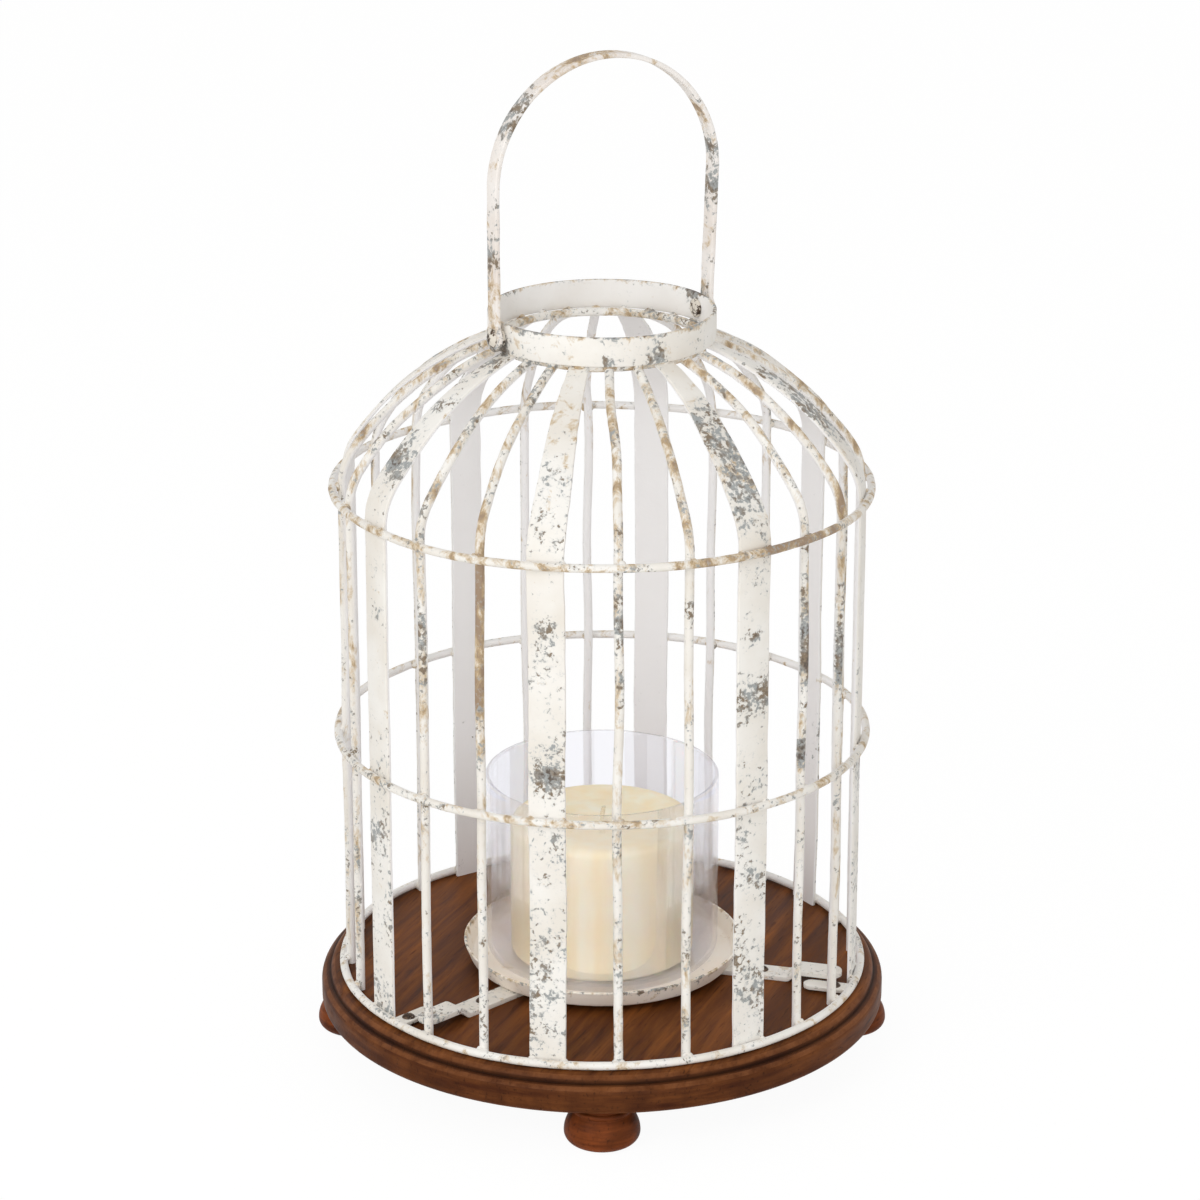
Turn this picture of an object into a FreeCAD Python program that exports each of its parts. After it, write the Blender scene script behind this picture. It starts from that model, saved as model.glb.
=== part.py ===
import FreeCAD, Part
import math
import os
import Sketcher

# A candle lantern: a cage of upright wires and straps on a turned wooden base, with a tray, a glass and a candle.
# Millimetres. The floor is z = 0, the axis is the line x = y = 0, and the front of the base faces -Y.

document = FreeCAD.newDocument("candle_lantern")
sheet = document.addObject("Spreadsheet::Sheet", "sizes")

# Every driving size, one name each. A text that starts with = is worked out from the others.
SIZES = [
    # the fits used all over the object
    ("weld_bite", "0.04"),
    ("pin_gap", "0.08"),
    ("side_gap", "0.12"),
    ("rest_gap", "0.3"),
    # the turned base and its four bun feet
    ("board_radius", "139.7"),
    ("board_thick", "18"),
    ("edge_round", "3.8"),
    ("board_step", "4.5"),
    ("step_depth", "4"),
    ("low_round", "3"),
    ("foot_height", "19.9"),
    ("foot_inset", "15.7"),
    ("foot_flat", "13.1"),
    ("bun_radius", "18.2"),
    ("bun_middle", "5.2"),
    ("bun_top", "15.6"),
    ("bun_neck", "13.6"),
    ("bead_high", "2.4"),
    ("bead_round", "1.5"),
    ("neck_radius", "12.5"),
    ("dowel_radius", "4"),
    ("dowel_low", "13"),
    ("dowel_high", "10"),
    ("board_top", "=foot_height + board_thick"),
    ("board_low_side", "=foot_height + low_round"),
    ("board_low_edge", "=board_radius - low_round"),
    ("step_height", "=board_top - step_depth"),
    ("ledge_side", "=step_height - edge_round"),
    ("ledge_edge", "=board_radius - edge_round"),
    ("tier_radius", "=board_radius - board_step"),
    ("tier_side", "=board_top - edge_round"),
    ("tier_edge", "=tier_radius - edge_round"),
    ("foot_circle", "=board_radius - foot_inset"),
    ("bun_in", "=bun_radius - foot_flat"),
    ("bun_curve", "=(bun_middle ^ 2 + bun_in ^ 2) / (2 * bun_in)"),
    ("bun_rise", "=bun_top - bun_middle"),
    ("bun_draw", "=bun_radius - bun_neck"),
    ("bun_shoulder", "=(bun_rise ^ 2 + bun_draw ^ 2) / (2 * bun_draw)"),
    ("bead_top", "=bun_top + bead_high"),
    ("dowel_base", "=foot_height - dowel_low"),
    ("dowel_length", "=dowel_low + dowel_high"),
    # the cage: hoops of round wire outside, round rods and flat straps inside
    ("cage_turn", "-56.6"),
    ("ring_inset", "11"),
    ("hoop_wire", "2"),
    ("rod_radius", "2.2"),
    ("flat_width", "17.4"),
    ("flat_thick", "2"),
    ("flat_tip", "8.8"),
    ("middle_rise", "121.9"),
    ("top_rise", "246.2"),
    ("dome_low", "31"),
    ("dome_angle", "34.6"),
    ("dome_high", "141"),
    ("hoop_circle", "=board_radius - ring_inset"),
    ("hoop_inside", "=hoop_circle - hoop_wire"),
    ("rod_circle", "=hoop_inside - rod_radius + weld_bite"),
    ("flat_half", "=flat_width / 2"),
    ("flat_outside", "=sqrt((hoop_inside + weld_bite) ^ 2 - flat_half ^ 2)"),
    ("flat_inside", "=flat_outside - flat_thick"),
    ("ring_height", "=board_top + rest_gap + hoop_wire"),
    ("middle_height", "=ring_height + middle_rise"),
    ("top_height", "=ring_height + top_rise"),
    ("rod_length", "=top_height - board_top"),
    # the collar that closes the dome, and the wire ring inside its foot
    ("collar_inside", "52"),
    ("collar_wall", "2"),
    ("collar_high", "14"),
    ("collar_wire", "2"),
    ("rib_inset", "1"),
    ("collar_outside", "=collar_inside + collar_wall"),
    ("rib_end", "=collar_inside - rib_inset"),
    ("low_centre", "=rod_circle - dome_low"),
    ("dome_swell", "=dome_high - dome_low"),
    ("high_centre", "=low_centre - dome_swell * cos(dome_angle)"),
    ("high_level", "=top_height - dome_swell * sin(dome_angle)"),
    ("end_reach", "=rib_end - high_centre"),
    ("end_rise", "=sqrt(dome_high ^ 2 - end_reach ^ 2)"),
    ("end_height", "=high_level + end_rise"),
    ("end_angle", "=atan2(end_rise; end_reach) / 1 deg"),
    ("high_sweep", "=end_angle - dome_angle"),
    ("wire_reach", "=(collar_wire - weld_bite) / dome_high"),
    ("collar_ring_circle", "=rib_end - end_rise * wire_reach"),
    ("collar_ring_height", "=end_height + end_reach * wire_reach"),
    ("rod_back", "=dome_high + rod_radius - weld_bite"),
    ("collar_base", "=high_level + sqrt(rod_back ^ 2 - (collar_inside - high_centre) ^ 2)"),
    ("pivot_height", "=collar_base + collar_high / 2"),
    ("flat_back", "=flat_outside - rod_circle"),
    ("flat_front", "=flat_back - flat_thick"),
    ("low_back", "=dome_low + flat_back"),
    ("low_front", "=dome_low + flat_front"),
    ("high_back", "=dome_high + flat_back"),
    ("high_front", "=dome_high + flat_front"),
    ("back_mid", "=low_centre + low_back * cos(dome_angle)"),
    ("back_mid_level", "=top_height + low_back * sin(dome_angle)"),
    ("front_mid", "=low_centre + low_front * cos(dome_angle)"),
    ("front_mid_level", "=top_height + low_front * sin(dome_angle)"),
    ("back_end", "=high_centre + high_back * end_reach / dome_high"),
    ("back_end_level", "=high_level + high_back * end_rise / dome_high"),
    ("front_end", "=high_centre + high_front * end_reach / dome_high"),
    ("front_end_level", "=high_level + high_front * end_rise / dome_high"),
    ("taper_in", "=rib_end - 4"),
    ("taper_out", "=hoop_inside + 4"),
    ("taper_tip", "=flat_tip / 2"),
    ("taper_slope", "=(flat_half - taper_tip) / (back_mid - taper_in)"),
    ("taper_wide", "=taper_tip + taper_slope * (taper_out - taper_in)"),
    # round-headed wood screws, one pattern for the tray arms and the cage lugs
    ("screw_shank", "1.7"),
    ("screw_long", "11"),
    ("screw_point", "3"),
    ("screw_head", "3.2"),
    ("screw_dome", "1.9"),
    ("screw_hole", "=screw_shank + pin_gap"),
    ("screw_top", "=screw_long + screw_dome"),
    ("bore_base", "=board_top - screw_long"),
    ("bore_length", "=screw_long + screw_dome"),
    ("screw_curve", "=(screw_head ^ 2 + screw_dome ^ 2) / (2 * screw_dome)"),
    # the tray and the three arms that carry it
    ("arm_turn", "-45.2"),
    ("arm_half", "6"),
    ("arm_thick", "2.5"),
    ("arm_inner", "40"),
    ("arm_rise", "4"),
    ("arm_gap", "4.7"),
    ("arm_pad", "22"),
    ("arm_end", "=hoop_inside - arm_gap"),
    ("arm_round", "=arm_end - arm_half"),
    ("arm_reach", "=arm_end + arm_half"),
    ("arm_heel", "=arm_inner + arm_thick"),
    ("arm_blank", "=arm_half * 3"),
    ("arm_bend", "=arm_end - arm_pad - arm_rise"),
    ("arm_lift", "=arm_bend + arm_rise"),
    ("arm_bend_top", "=arm_bend - arm_thick * 0.414214"),
    ("arm_lift_top", "=arm_lift - arm_thick * 0.414214"),
    ("arm_under", "=board_top + arm_rise"),
    ("arm_over", "=arm_under + arm_thick"),
    ("tray_base", "=board_top + arm_thick"),
    ("tray_radius", "69"),
    ("tray_flare", "2.5"),
    ("tray_bend", "3"),
    ("tray_wall", "1.4"),
    ("tray_high", "9"),
    ("tray_side", "=tray_radius - tray_flare"),
    ("tray_flat", "=tray_side - tray_bend"),
    ("tray_bend_top", "=tray_base + tray_bend"),
    ("tray_rim", "=tray_base + tray_high"),
    ("tray_inner_rim", "=tray_radius - tray_wall"),
    ("tray_inner_side", "=tray_side - tray_wall"),
    ("tray_inner_bend", "=tray_bend - tray_wall"),
    ("tray_floor", "=tray_base + tray_wall"),
    ("arm_screw_circle", "=(tray_radius + arm_bend_top) / 2"),
    # three lugs on the bottom ring, each beside the raised end of an arm and under a screw
    ("lug_turn", "11.4"),
    ("lug_half", "4.2"),
    ("lug_clear", "0.4"),
    ("lug_long", "21.4"),
    ("lug_thick", "2"),
    ("lug_inset", "6.2"),
    ("lug_near", "=arm_half + lug_clear"),
    ("lug_middle", "=lug_near + lug_half"),
    ("lug_far", "=lug_middle + lug_half"),
    ("lug_edge", "=hoop_inside + weld_bite / 4"),
    ("lug_near_corner", "=sqrt(lug_edge ^ 2 - lug_near ^ 2)"),
    ("lug_far_corner", "=sqrt(lug_edge ^ 2 - lug_far ^ 2)"),
    ("lug_tip", "=hoop_inside - lug_long"),
    ("lug_nose", "=lug_tip + lug_half"),
    ("lug_hole", "=hoop_inside - lug_inset"),
    ("lug_screw_circle", "=sqrt(lug_hole ^ 2 + lug_middle ^ 2)"),
    ("lug_screw_turn", "=atan2(lug_middle; lug_hole) / 1 deg"),
    ("lug_base", "=ring_height - lug_thick / 2"),
    ("lug_top", "=lug_base + lug_thick"),
    # the glass and the candle
    ("glass_radius", "57.5"),
    ("glass_wall", "2.5"),
    ("glass_high", "95.3"),
    ("glass_floor", "2.5"),
    ("glass_corner", "8"),
    ("glass_hollow", "5.5"),
    ("glass_lip", "=glass_wall / 2"),
    ("glass_flat", "=glass_radius - glass_corner"),
    ("glass_corner_top", "=tray_floor + glass_corner"),
    ("glass_top", "=tray_floor + glass_high"),
    ("glass_lip_base", "=glass_top - glass_lip"),
    ("glass_lip_circle", "=glass_radius - glass_lip"),
    ("glass_inside", "=glass_radius - glass_wall"),
    ("candle_base", "=tray_floor + glass_floor"),
    ("glass_hollow_top", "=candle_base + glass_hollow"),
    ("glass_hollow_flat", "=glass_inside - glass_hollow"),
    ("candle_radius", "45.5"),
    ("candle_high", "68.9"),
    ("candle_low_round", "2"),
    ("candle_round", "4"),
    ("candle_dish", "1.6"),
    ("wick_radius", "1.2"),
    ("wick_deep", "10"),
    ("wick_show", "7"),
    ("candle_top", "=candle_base + candle_high"),
    ("candle_low_flat", "=candle_radius - candle_low_round"),
    ("candle_low_side", "=candle_base + candle_low_round"),
    ("candle_shoulder", "=candle_top - candle_round"),
    ("candle_flat", "=candle_radius - candle_round"),
    ("candle_pool", "=candle_radius * 0.6"),
    ("candle_pool_level", "=candle_top - candle_dish"),
    ("wick_base", "=candle_pool_level - wick_deep"),
    ("wick_length", "=wick_deep + wick_show"),
    # the bail and the rivets it swings on
    ("bail_turn", "-60.5"),
    ("bail_thick", "2.4"),
    ("bail_width", "9"),
    ("bail_leg", "69.7"),
    ("eye_radius", "6.5"),
    ("rivet_radius", "2.5"),
    ("rivet_head", "4.5"),
    ("rivet_dome", "2"),
    ("rivet_shoulder", "2.2"),
    ("rivet_neck", "=collar_outside + rivet_shoulder"),
    ("bail_inside", "=rivet_neck + side_gap"),
    ("bail_outside", "=bail_inside + bail_thick"),
    ("bail_spring", "=pivot_height + bail_leg"),
    ("bail_inner_top", "=bail_spring + bail_inside"),
    ("bail_outer_top", "=bail_spring + bail_outside"),
    ("eye_hole", "=rivet_radius + pin_gap"),
    ("rivet_seat", "=bail_outside + side_gap"),
    ("rivet_end", "=rivet_seat + rivet_dome"),
    ("rivet_curve", "=(rivet_head ^ 2 + rivet_dome ^ 2) / (2 * rivet_dome)"),
    ("rivet_inner_seat", "=sqrt(collar_inside ^ 2 - rivet_head ^ 2)"),
    ("rivet_inner_end", "=rivet_inner_seat - 1.5"),
]

for row, (name, text) in enumerate(SIZES, start=1):
    sheet.set(f"A{row}", name)
    sheet.set(f"B{row}", text)
    sheet.setAlias(f"B{row}", name)
document.recompute()

FLAT_COUNT = 8
RODS_BETWEEN = 2
FOOT_COUNT = 4
ARM_COUNT = 3
UP = FreeCAD.Vector(0, 0, 1)
ORIGIN = FreeCAD.Vector(0, 0, 0)
ACROSS = FreeCAD.Rotation(FreeCAD.Vector(1, 0, 0), 90)


def value(name):
    """The number in a cell of the sheet."""
    held = sheet.get(name)
    return float(getattr(held, "Value", held))


def number(text):
    """The number for a place in an outline: a cell's name, that name with a minus sign, or 0."""
    if text == "0":
        return 0.0
    if text.startswith("-"):
        return -value(text[1:])
    return value(text)


def bound(text):
    """The same place written as an expression on the sheet."""
    if text.startswith("-"):
        return f"-sizes.{text[1:]}"
    return f"sizes.{text}"


def bind(thing, **cells):
    """Tie properties of an object to cells of the sheet."""
    for key, name in cells.items():
        thing.setExpression(key, bound(name))
    return thing


def pin_point(sketch, edge, end, x_text, y_text):
    """Hold one end of an edge at a place given by two cells."""
    for kind, line, text in (("DistanceX", -2, x_text), ("DistanceY", -1, y_text)):
        if text == "0":
            sketch.addConstraint(Sketcher.Constraint("PointOnObject", edge, end, line))
            continue
        index = sketch.addConstraint(Sketcher.Constraint(kind, -1, 1, edge, end, number(text)))
        sketch.setExpression(f"Constraints[{index}]", bound(text))


def draw_outline(sketch, corners):
    """A closed outline. Each corner is (x, y, bend): bend None makes a straight edge to the next corner,
    and a cell's name makes an arc of that radius that turns left, or right with a minus sign."""
    count = len(corners)
    places = [FreeCAD.Vector(number(x), number(y), 0) for x, y, _ in corners]
    starts = []
    ends = []
    for index, (_, _, bend) in enumerate(corners):
        here = places[index]
        there = places[(index + 1) % count]
        if bend is None:
            edge = sketch.addGeometry(Part.LineSegment(here, there))
            starts.append((edge, 1))
            ends.append((edge, 2))
            continue
        radius = abs(number(bend))
        left = not bend.startswith("-")
        chord = there.sub(here)
        side = FreeCAD.Vector(-chord.y, chord.x, 0).normalize()
        depth = math.sqrt(max(radius**2 - (chord.Length / 2) ** 2, 0))
        middle = here.add(chord * 0.5)
        centre = middle.add(side * (depth if left else -depth))
        first, last = (here, there) if left else (there, here)
        begin = math.atan2(first.y - centre.y, first.x - centre.x)
        finish = math.atan2(last.y - centre.y, last.x - centre.x)
        if finish <= begin:
            finish += 2 * math.pi
        circle = Part.Circle(centre, UP, radius)
        edge = sketch.addGeometry(Part.ArcOfCircle(circle, begin, finish))
        starts.append((edge, 1 if left else 2))
        ends.append((edge, 2 if left else 1))
    for index, (x_text, y_text, bend) in enumerate(corners):
        following = (index + 1) % count
        sketch.addConstraint(Sketcher.Constraint("Coincident", *ends[index], *starts[following]))
        pin_point(sketch, *starts[index], x_text, y_text)
        if bend is not None:
            edge = starts[index][0]
            limit = sketch.addConstraint(Sketcher.Constraint("Radius", edge, abs(number(bend))))
            sketch.setExpression(f"Constraints[{limit}]", bound(bend.lstrip("-")))


def draw_circle(sketch, x_text, y_text, radius_text):
    """A circle centred at a place given by two cells."""
    centre = FreeCAD.Vector(number(x_text), number(y_text), 0)
    edge = sketch.addGeometry(Part.Circle(centre, UP, value(radius_text)))
    pin_point(sketch, edge, 3, x_text, y_text)
    limit = sketch.addConstraint(Sketcher.Constraint("Radius", edge, value(radius_text)))
    sketch.setExpression(f"Constraints[{limit}]", bound(radius_text))


def turned(name, corners, axis="V_Axis"):
    """A turned piece: an outline of radius and height in the XZ plane, spun once round an axis of the sketch."""
    body = document.addObject("PartDesign::Body", name)
    sketch = body.newObject("Sketcher::SketchObject", f"{name}_outline")
    plane = next(item for item in body.Origin.OriginFeatures if item.Role == "XZ_Plane")
    sketch.AttachmentSupport = [(plane, "")]
    sketch.MapMode = "FlatFace"
    document.recompute()
    draw_outline(sketch, corners)
    document.recompute()
    spun = body.newObject("PartDesign::Revolution", f"{name}_turn")
    spun.Profile = sketch
    spun.ReferenceAxis = (sketch, [axis])
    spun.Angle = 360
    document.recompute()
    return body


def plate(name, corners, holes, height, base=None):
    """A flat piece: an outline in the XY plane with round holes, raised by a thickness."""
    sketch = document.addObject("Sketcher::SketchObject", f"{name}_outline")
    if base is not None:
        sketch.setExpression("Placement.Base.z", bound(base))
    draw_outline(sketch, corners)
    for x_text, y_text, radius_text in holes:
        draw_circle(sketch, x_text, y_text, radius_text)
    document.recompute()
    raised = document.addObject("Part::Extrusion", name)
    raised.Base = sketch
    raised.DirMode = "Normal"
    raised.Solid = True
    bind(raised, LengthFwd=height)
    document.recompute()
    return raised


def strip(name, corners, width):
    """A bent strip: an outline in the XZ plane, made as wide as a cell says, half to each side."""
    sketch = document.addObject("Sketcher::SketchObject", f"{name}_outline")
    sketch.Placement = FreeCAD.Placement(ORIGIN, ACROSS)
    draw_outline(sketch, corners)
    document.recompute()
    raised = document.addObject("Part::Extrusion", name)
    raised.Base = sketch
    raised.DirMode = "Normal"
    raised.Solid = True
    raised.Symmetric = True
    bind(raised, LengthFwd=width)
    document.recompute()
    return raised


def upright(name, radius, length, base, reach=None):
    """A round bar that stands on a level, at a distance from the axis."""
    bar = document.addObject("Part::Cylinder", name)
    bind(bar, Radius=radius, Height=length)
    bar.setExpression("Placement.Base.z", bound(base))
    if reach is not None:
        bar.setExpression("Placement.Base.x", bound(reach))
    return bar


def crossbar(name, radius, start, end):
    """A round bar along X at the height of the bail's pivots, between two distances from the axis."""
    bar = document.addObject("Part::Cylinder", name)
    bar.Placement = FreeCAD.Placement(ORIGIN, FreeCAD.Rotation(FreeCAD.Vector(0, 1, 0), 90))
    bind(bar, Radius=radius)
    bar.setExpression("Height", f"{bound(end)} - ({bound(start)})")
    bar.setExpression("Placement.Base.x", bound(start))
    bar.setExpression("Placement.Base.z", "sizes.pivot_height")
    return bar


def hoop(name, circle, wire, height):
    """A ring of round wire round the axis."""
    ring = document.addObject("Part::Torus", name)
    bind(ring, Radius1=circle, Radius2=wire)
    ring.setExpression("Placement.Base.z", bound(height))
    return ring


def face_out(thing, azimuth):
    """Turn a piece built along +X so that it faces an azimuth counted from the front, positive to the right."""
    thing.Placement = FreeCAD.Placement(ORIGIN, FreeCAD.Rotation(UP, azimuth - 90))
    return thing


def joined(name, pieces):
    """Several pieces made one solid."""
    whole = document.addObject("Part::MultiFuse", name)
    whole.Shapes = pieces
    return whole


def cut(name, stock, tool):
    """A piece with another one taken out of it."""
    rest = document.addObject("Part::Cut", name)
    rest.Base = stock
    rest.Tool = tool
    return rest


def shared(name, one, other):
    """What two pieces have in common."""
    both = document.addObject("Part::Common", name)
    both.Base = one
    both.Tool = other
    return both


def gathered(name, pieces):
    """Loose pieces kept together under one name."""
    group = document.addObject("Part::Compound", name)
    group.Links = pieces
    return group


def placed(name, thing, azimuth):
    """A copy of a piece built along +X, turned to an azimuth."""
    return face_out(gathered(name, [thing]), azimuth)


def azimuths(count, first):
    """Equal steps round the axis from a first azimuth, in degrees."""
    return [first + 360.0 * index / count for index in range(count)]


finished = []


def keep(thing, label):
    """Name a finished piece."""
    thing.Label = label
    finished.append(thing)
    return thing


# The base: one turned board in two tiers, bored for the dowels of its feet and for six screws.
arm_azimuths = azimuths(ARM_COUNT, value("arm_turn"))
lug_azimuths = azimuths(ARM_COUNT, value("cage_turn") + value("lug_turn"))
lug_screw_azimuths = [turn - value("lug_screw_turn") for turn in lug_azimuths]
foot_azimuths = azimuths(FOOT_COUNT, 0.0)
board_stock = turned(
    "board_stock",
    [
        ("0", "foot_height", None),
        ("board_low_edge", "foot_height", "low_round"),
        ("board_radius", "board_low_side", None),
        ("board_radius", "ledge_side", "edge_round"),
        ("ledge_edge", "step_height", None),
        ("tier_radius", "step_height", None),
        ("tier_radius", "tier_side", "edge_round"),
        ("tier_edge", "board_top", None),
        ("0", "board_top", None),
    ],
)
dowel = upright("dowel", "dowel_radius", "dowel_length", "dowel_base", "foot_circle")
arm_bore = upright("arm_bore", "screw_hole", "bore_length", "bore_base", "arm_screw_circle")
lug_bore = upright("lug_bore", "screw_hole", "bore_length", "bore_base", "lug_screw_circle")
dowels = [placed(f"dowel_{n}", dowel, turn) for n, turn in enumerate(foot_azimuths, 1)]
bores = [placed(f"arm_bore_{n}", arm_bore, turn) for n, turn in enumerate(arm_azimuths, 1)]
bores += [placed(f"lug_bore_{n}", lug_bore, turn) for n, turn in enumerate(lug_screw_azimuths, 1)]
board_bores = gathered("board_bores", dowels + bores)
keep(cut("board_bored", board_stock, board_bores), "base_board")
keep(gathered("dowel_group", dowels), "foot_dowels")

# The feet: four turned buns with a bead under the neck, one at each quarter, a little proud of the board.
foot_stock = turned(
    "foot_stock",
    [
        ("0", "0", None),
        ("foot_flat", "0", "bun_curve"),
        ("bun_radius", "bun_middle", "bun_shoulder"),
        ("bun_neck", "bun_top", "bead_round"),
        ("bun_neck", "bead_top", None),
        ("neck_radius", "bead_top", None),
        ("neck_radius", "foot_height", None),
        ("0", "foot_height", None),
    ],
)
foot_stock.setExpression("Placement.Base.x", "sizes.foot_circle")
for side, turn in zip(("front", "right", "back", "left"), foot_azimuths):
    keep(face_out(cut(f"foot_cut_{side}", foot_stock, dowel), turn), f"foot_{side}")

# Wood screws with round heads: the tip is at the foot of the outline and the head sits on what it holds.
screw_stock = turned(
    "screw_stock",
    [
        ("0", "0", None),
        ("screw_shank", "screw_point", None),
        ("screw_shank", "screw_long", None),
        ("screw_head", "screw_long", "screw_curve"),
        ("0", "screw_top", None),
    ],
)
arm_screw = gathered("arm_screw", [screw_stock])
arm_screw.setExpression("Placement.Base.x", "sizes.arm_screw_circle")
arm_screw.setExpression("Placement.Base.z", "sizes.tray_base - sizes.screw_long")
lug_screw = gathered("lug_screw", [screw_stock])
lug_screw.setExpression("Placement.Base.x", "sizes.lug_screw_circle")
lug_screw.setExpression("Placement.Base.z", "sizes.lug_top - sizes.screw_long")
arm_set = [placed(f"arm_screw_{n}", arm_screw, turn) for n, turn in enumerate(arm_azimuths, 1)]
lug_set = [placed(f"lug_screw_{n}", lug_screw, turn) for n, turn in enumerate(lug_screw_azimuths, 1)]
keep(gathered("arm_screw_group", arm_set), "arm_screws")
keep(gathered("lug_screw_group", lug_set), "lug_screws")

# The tray: a shallow pan with a flared rim, carried by three straps whose outer ends step up.
tray = turned(
    "tray",
    [
        ("0", "tray_base", None),
        ("tray_flat", "tray_base", "tray_bend"),
        ("tray_side", "tray_bend_top", None),
        ("tray_radius", "tray_rim", None),
        ("tray_inner_rim", "tray_rim", None),
        ("tray_inner_side", "tray_bend_top", "-tray_inner_bend"),
        ("tray_flat", "tray_floor", None),
        ("0", "tray_floor", None),
    ],
)
keep(tray, "candle_tray")
arm_side = strip(
    "arm_side",
    [
        ("arm_inner", "board_top", None),
        ("arm_bend", "board_top", None),
        ("arm_lift", "arm_under", None),
        ("arm_reach", "arm_under", None),
        ("arm_reach", "arm_over", None),
        ("arm_lift_top", "arm_over", None),
        ("arm_bend_top", "tray_base", None),
        ("arm_inner", "tray_base", None),
    ],
    "arm_blank",
)
arm_plan = plate(
    "arm_plan",
    [
        ("arm_heel", "-arm_half", None),
        ("arm_round", "-arm_half", "arm_half"),
        ("arm_end", "0", "arm_half"),
        ("arm_round", "arm_half", None),
        ("arm_heel", "arm_half", None),
    ],
    [("arm_screw_circle", "0", "screw_hole")],
    "pivot_height",
)
for number_of_arm, turn in enumerate(arm_azimuths, 1):
    arm = shared(f"arm_cut_{number_of_arm}", arm_side, arm_plan)
    keep(face_out(arm, turn), f"tray_arm_{number_of_arm}")

# The hoops: three rings of round wire outside the ribs and a smaller one under the collar.
keep(hoop("hoop_low", "hoop_circle", "hoop_wire", "ring_height"), "bottom_ring")
keep(hoop("hoop_mid", "hoop_circle", "hoop_wire", "middle_height"), "middle_hoop")
keep(hoop("hoop_top", "hoop_circle", "hoop_wire", "top_height"), "top_hoop")
keep(hoop("hoop_collar", "collar_ring_circle", "collar_wire", "collar_ring_height"), "collar_ring")

# The round rods: straight up to the top hoop, a tight bend there, then a wide curve in to the collar ring.
rod_shank = upright("rod_shank", "rod_radius", "rod_length", "board_top", "rod_circle")
rod_bend = document.addObject("Part::Torus", "rod_bend")
rod_bend.Placement = FreeCAD.Placement(ORIGIN, ACROSS)
bind(rod_bend, Radius1="dome_low", Radius2="rod_radius", Angle3="dome_angle")
rod_bend.setExpression("Placement.Base.x", "sizes.low_centre")
rod_bend.setExpression("Placement.Base.z", "sizes.top_height")
rod_roof = document.addObject("Part::Torus", "rod_roof")
tilt = FreeCAD.Rotation(UP, value("dome_angle"))
rod_roof.Placement = FreeCAD.Placement(ORIGIN, ACROSS.multiply(tilt))
bind(rod_roof, Radius1="dome_high", Radius2="rod_radius", Angle3="high_sweep")
rod_roof.setExpression("Placement.Base.x", "sizes.high_centre")
rod_roof.setExpression("Placement.Base.z", "sizes.high_level")

# The flat straps: the same line as the rods, full width up to the bend and tapered over the dome.
flat_side = strip(
    "flat_side",
    [
        ("flat_inside", "board_top", None),
        ("flat_outside", "board_top", None),
        ("flat_outside", "top_height", "low_back"),
        ("back_mid", "back_mid_level", "high_back"),
        ("back_end", "back_end_level", None),
        ("front_end", "front_end_level", "-high_front"),
        ("front_mid", "front_mid_level", "-low_front"),
        ("flat_inside", "top_height", None),
    ],
    "flat_width",
)
flat_plan = plate(
    "flat_plan",
    [
        ("taper_in", "-taper_tip", None),
        ("taper_out", "-taper_wide", None),
        ("taper_out", "taper_wide", None),
        ("taper_in", "taper_tip", None),
    ],
    [],
    "bail_spring",
)
rod_number = 0
rib_step = 360.0 / (FLAT_COUNT * (RODS_BETWEEN + 1))
for flat_number, turn in enumerate(azimuths(FLAT_COUNT, value("cage_turn")), 1):
    flat = shared(f"flat_cut_{flat_number}", flat_side, flat_plan)
    keep(face_out(flat, turn), f"flat_rib_{flat_number}")
    for step in range(1, RODS_BETWEEN + 1):
        rod_number += 1
        rod = joined(f"rod_bent_{rod_number}", [rod_shank, rod_bend, rod_roof])
        keep(face_out(rod, turn + step * rib_step), f"rod_rib_{rod_number}")

# The lugs: three small plates with rounded noses inside the bottom ring, each held down by a screw.
for lug_number, turn in enumerate(lug_azimuths, 1):
    lug = plate(
        f"lug_plate_{lug_number}",
        [
            ("lug_far_corner", "-lug_far", "lug_edge"),
            ("lug_near_corner", "-lug_near", None),
            ("lug_nose", "-lug_near", "lug_half"),
            ("lug_tip", "-lug_middle", "lug_half"),
            ("lug_nose", "-lug_far", None),
        ],
        [("lug_hole", "-lug_middle", "screw_hole")],
        "lug_thick",
        "lug_base",
    )
    keep(face_out(lug, turn), f"ring_lug_{lug_number}")

# The collar: an open band of sheet, bored on one line for the two rivets of the bail.
collar_outer = upright("collar_outer", "collar_outside", "collar_high", "collar_base")
collar_inner = upright("collar_inner", "collar_inside", "collar_high", "collar_base")
collar_bore = crossbar("collar_bore", "rivet_radius", "-bail_outside", "bail_outside")
collar_tube = cut("collar_tube", collar_outer, collar_inner)
keep(face_out(cut("collar_bored", collar_tube, collar_bore), value("bail_turn")), "collar")
rivet_stock = turned(
    "rivet_stock",
    [
        ("rivet_inner_end", "0", None),
        ("rivet_end", "0", "rivet_curve"),
        ("rivet_seat", "rivet_head", None),
        ("rivet_seat", "rivet_radius", None),
        ("rivet_neck", "rivet_radius", None),
        ("rivet_neck", "rivet_head", None),
        ("collar_outside", "rivet_head", None),
        ("collar_outside", "rivet_radius", None),
        ("rivet_inner_seat", "rivet_radius", None),
        ("rivet_inner_seat", "rivet_head", None),
        ("rivet_inner_end", "rivet_head", None),
    ],
    "H_Axis",
)
rivet_stock.setExpression("Placement.Base.z", "sizes.pivot_height")
rivet_azimuths = azimuths(2, value("bail_turn"))
rivets = [placed(f"rivet_{n}", rivet_stock, turn) for n, turn in enumerate(rivet_azimuths, 1)]
keep(gathered("rivet_group", rivets), "pivot_rivets")

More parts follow.
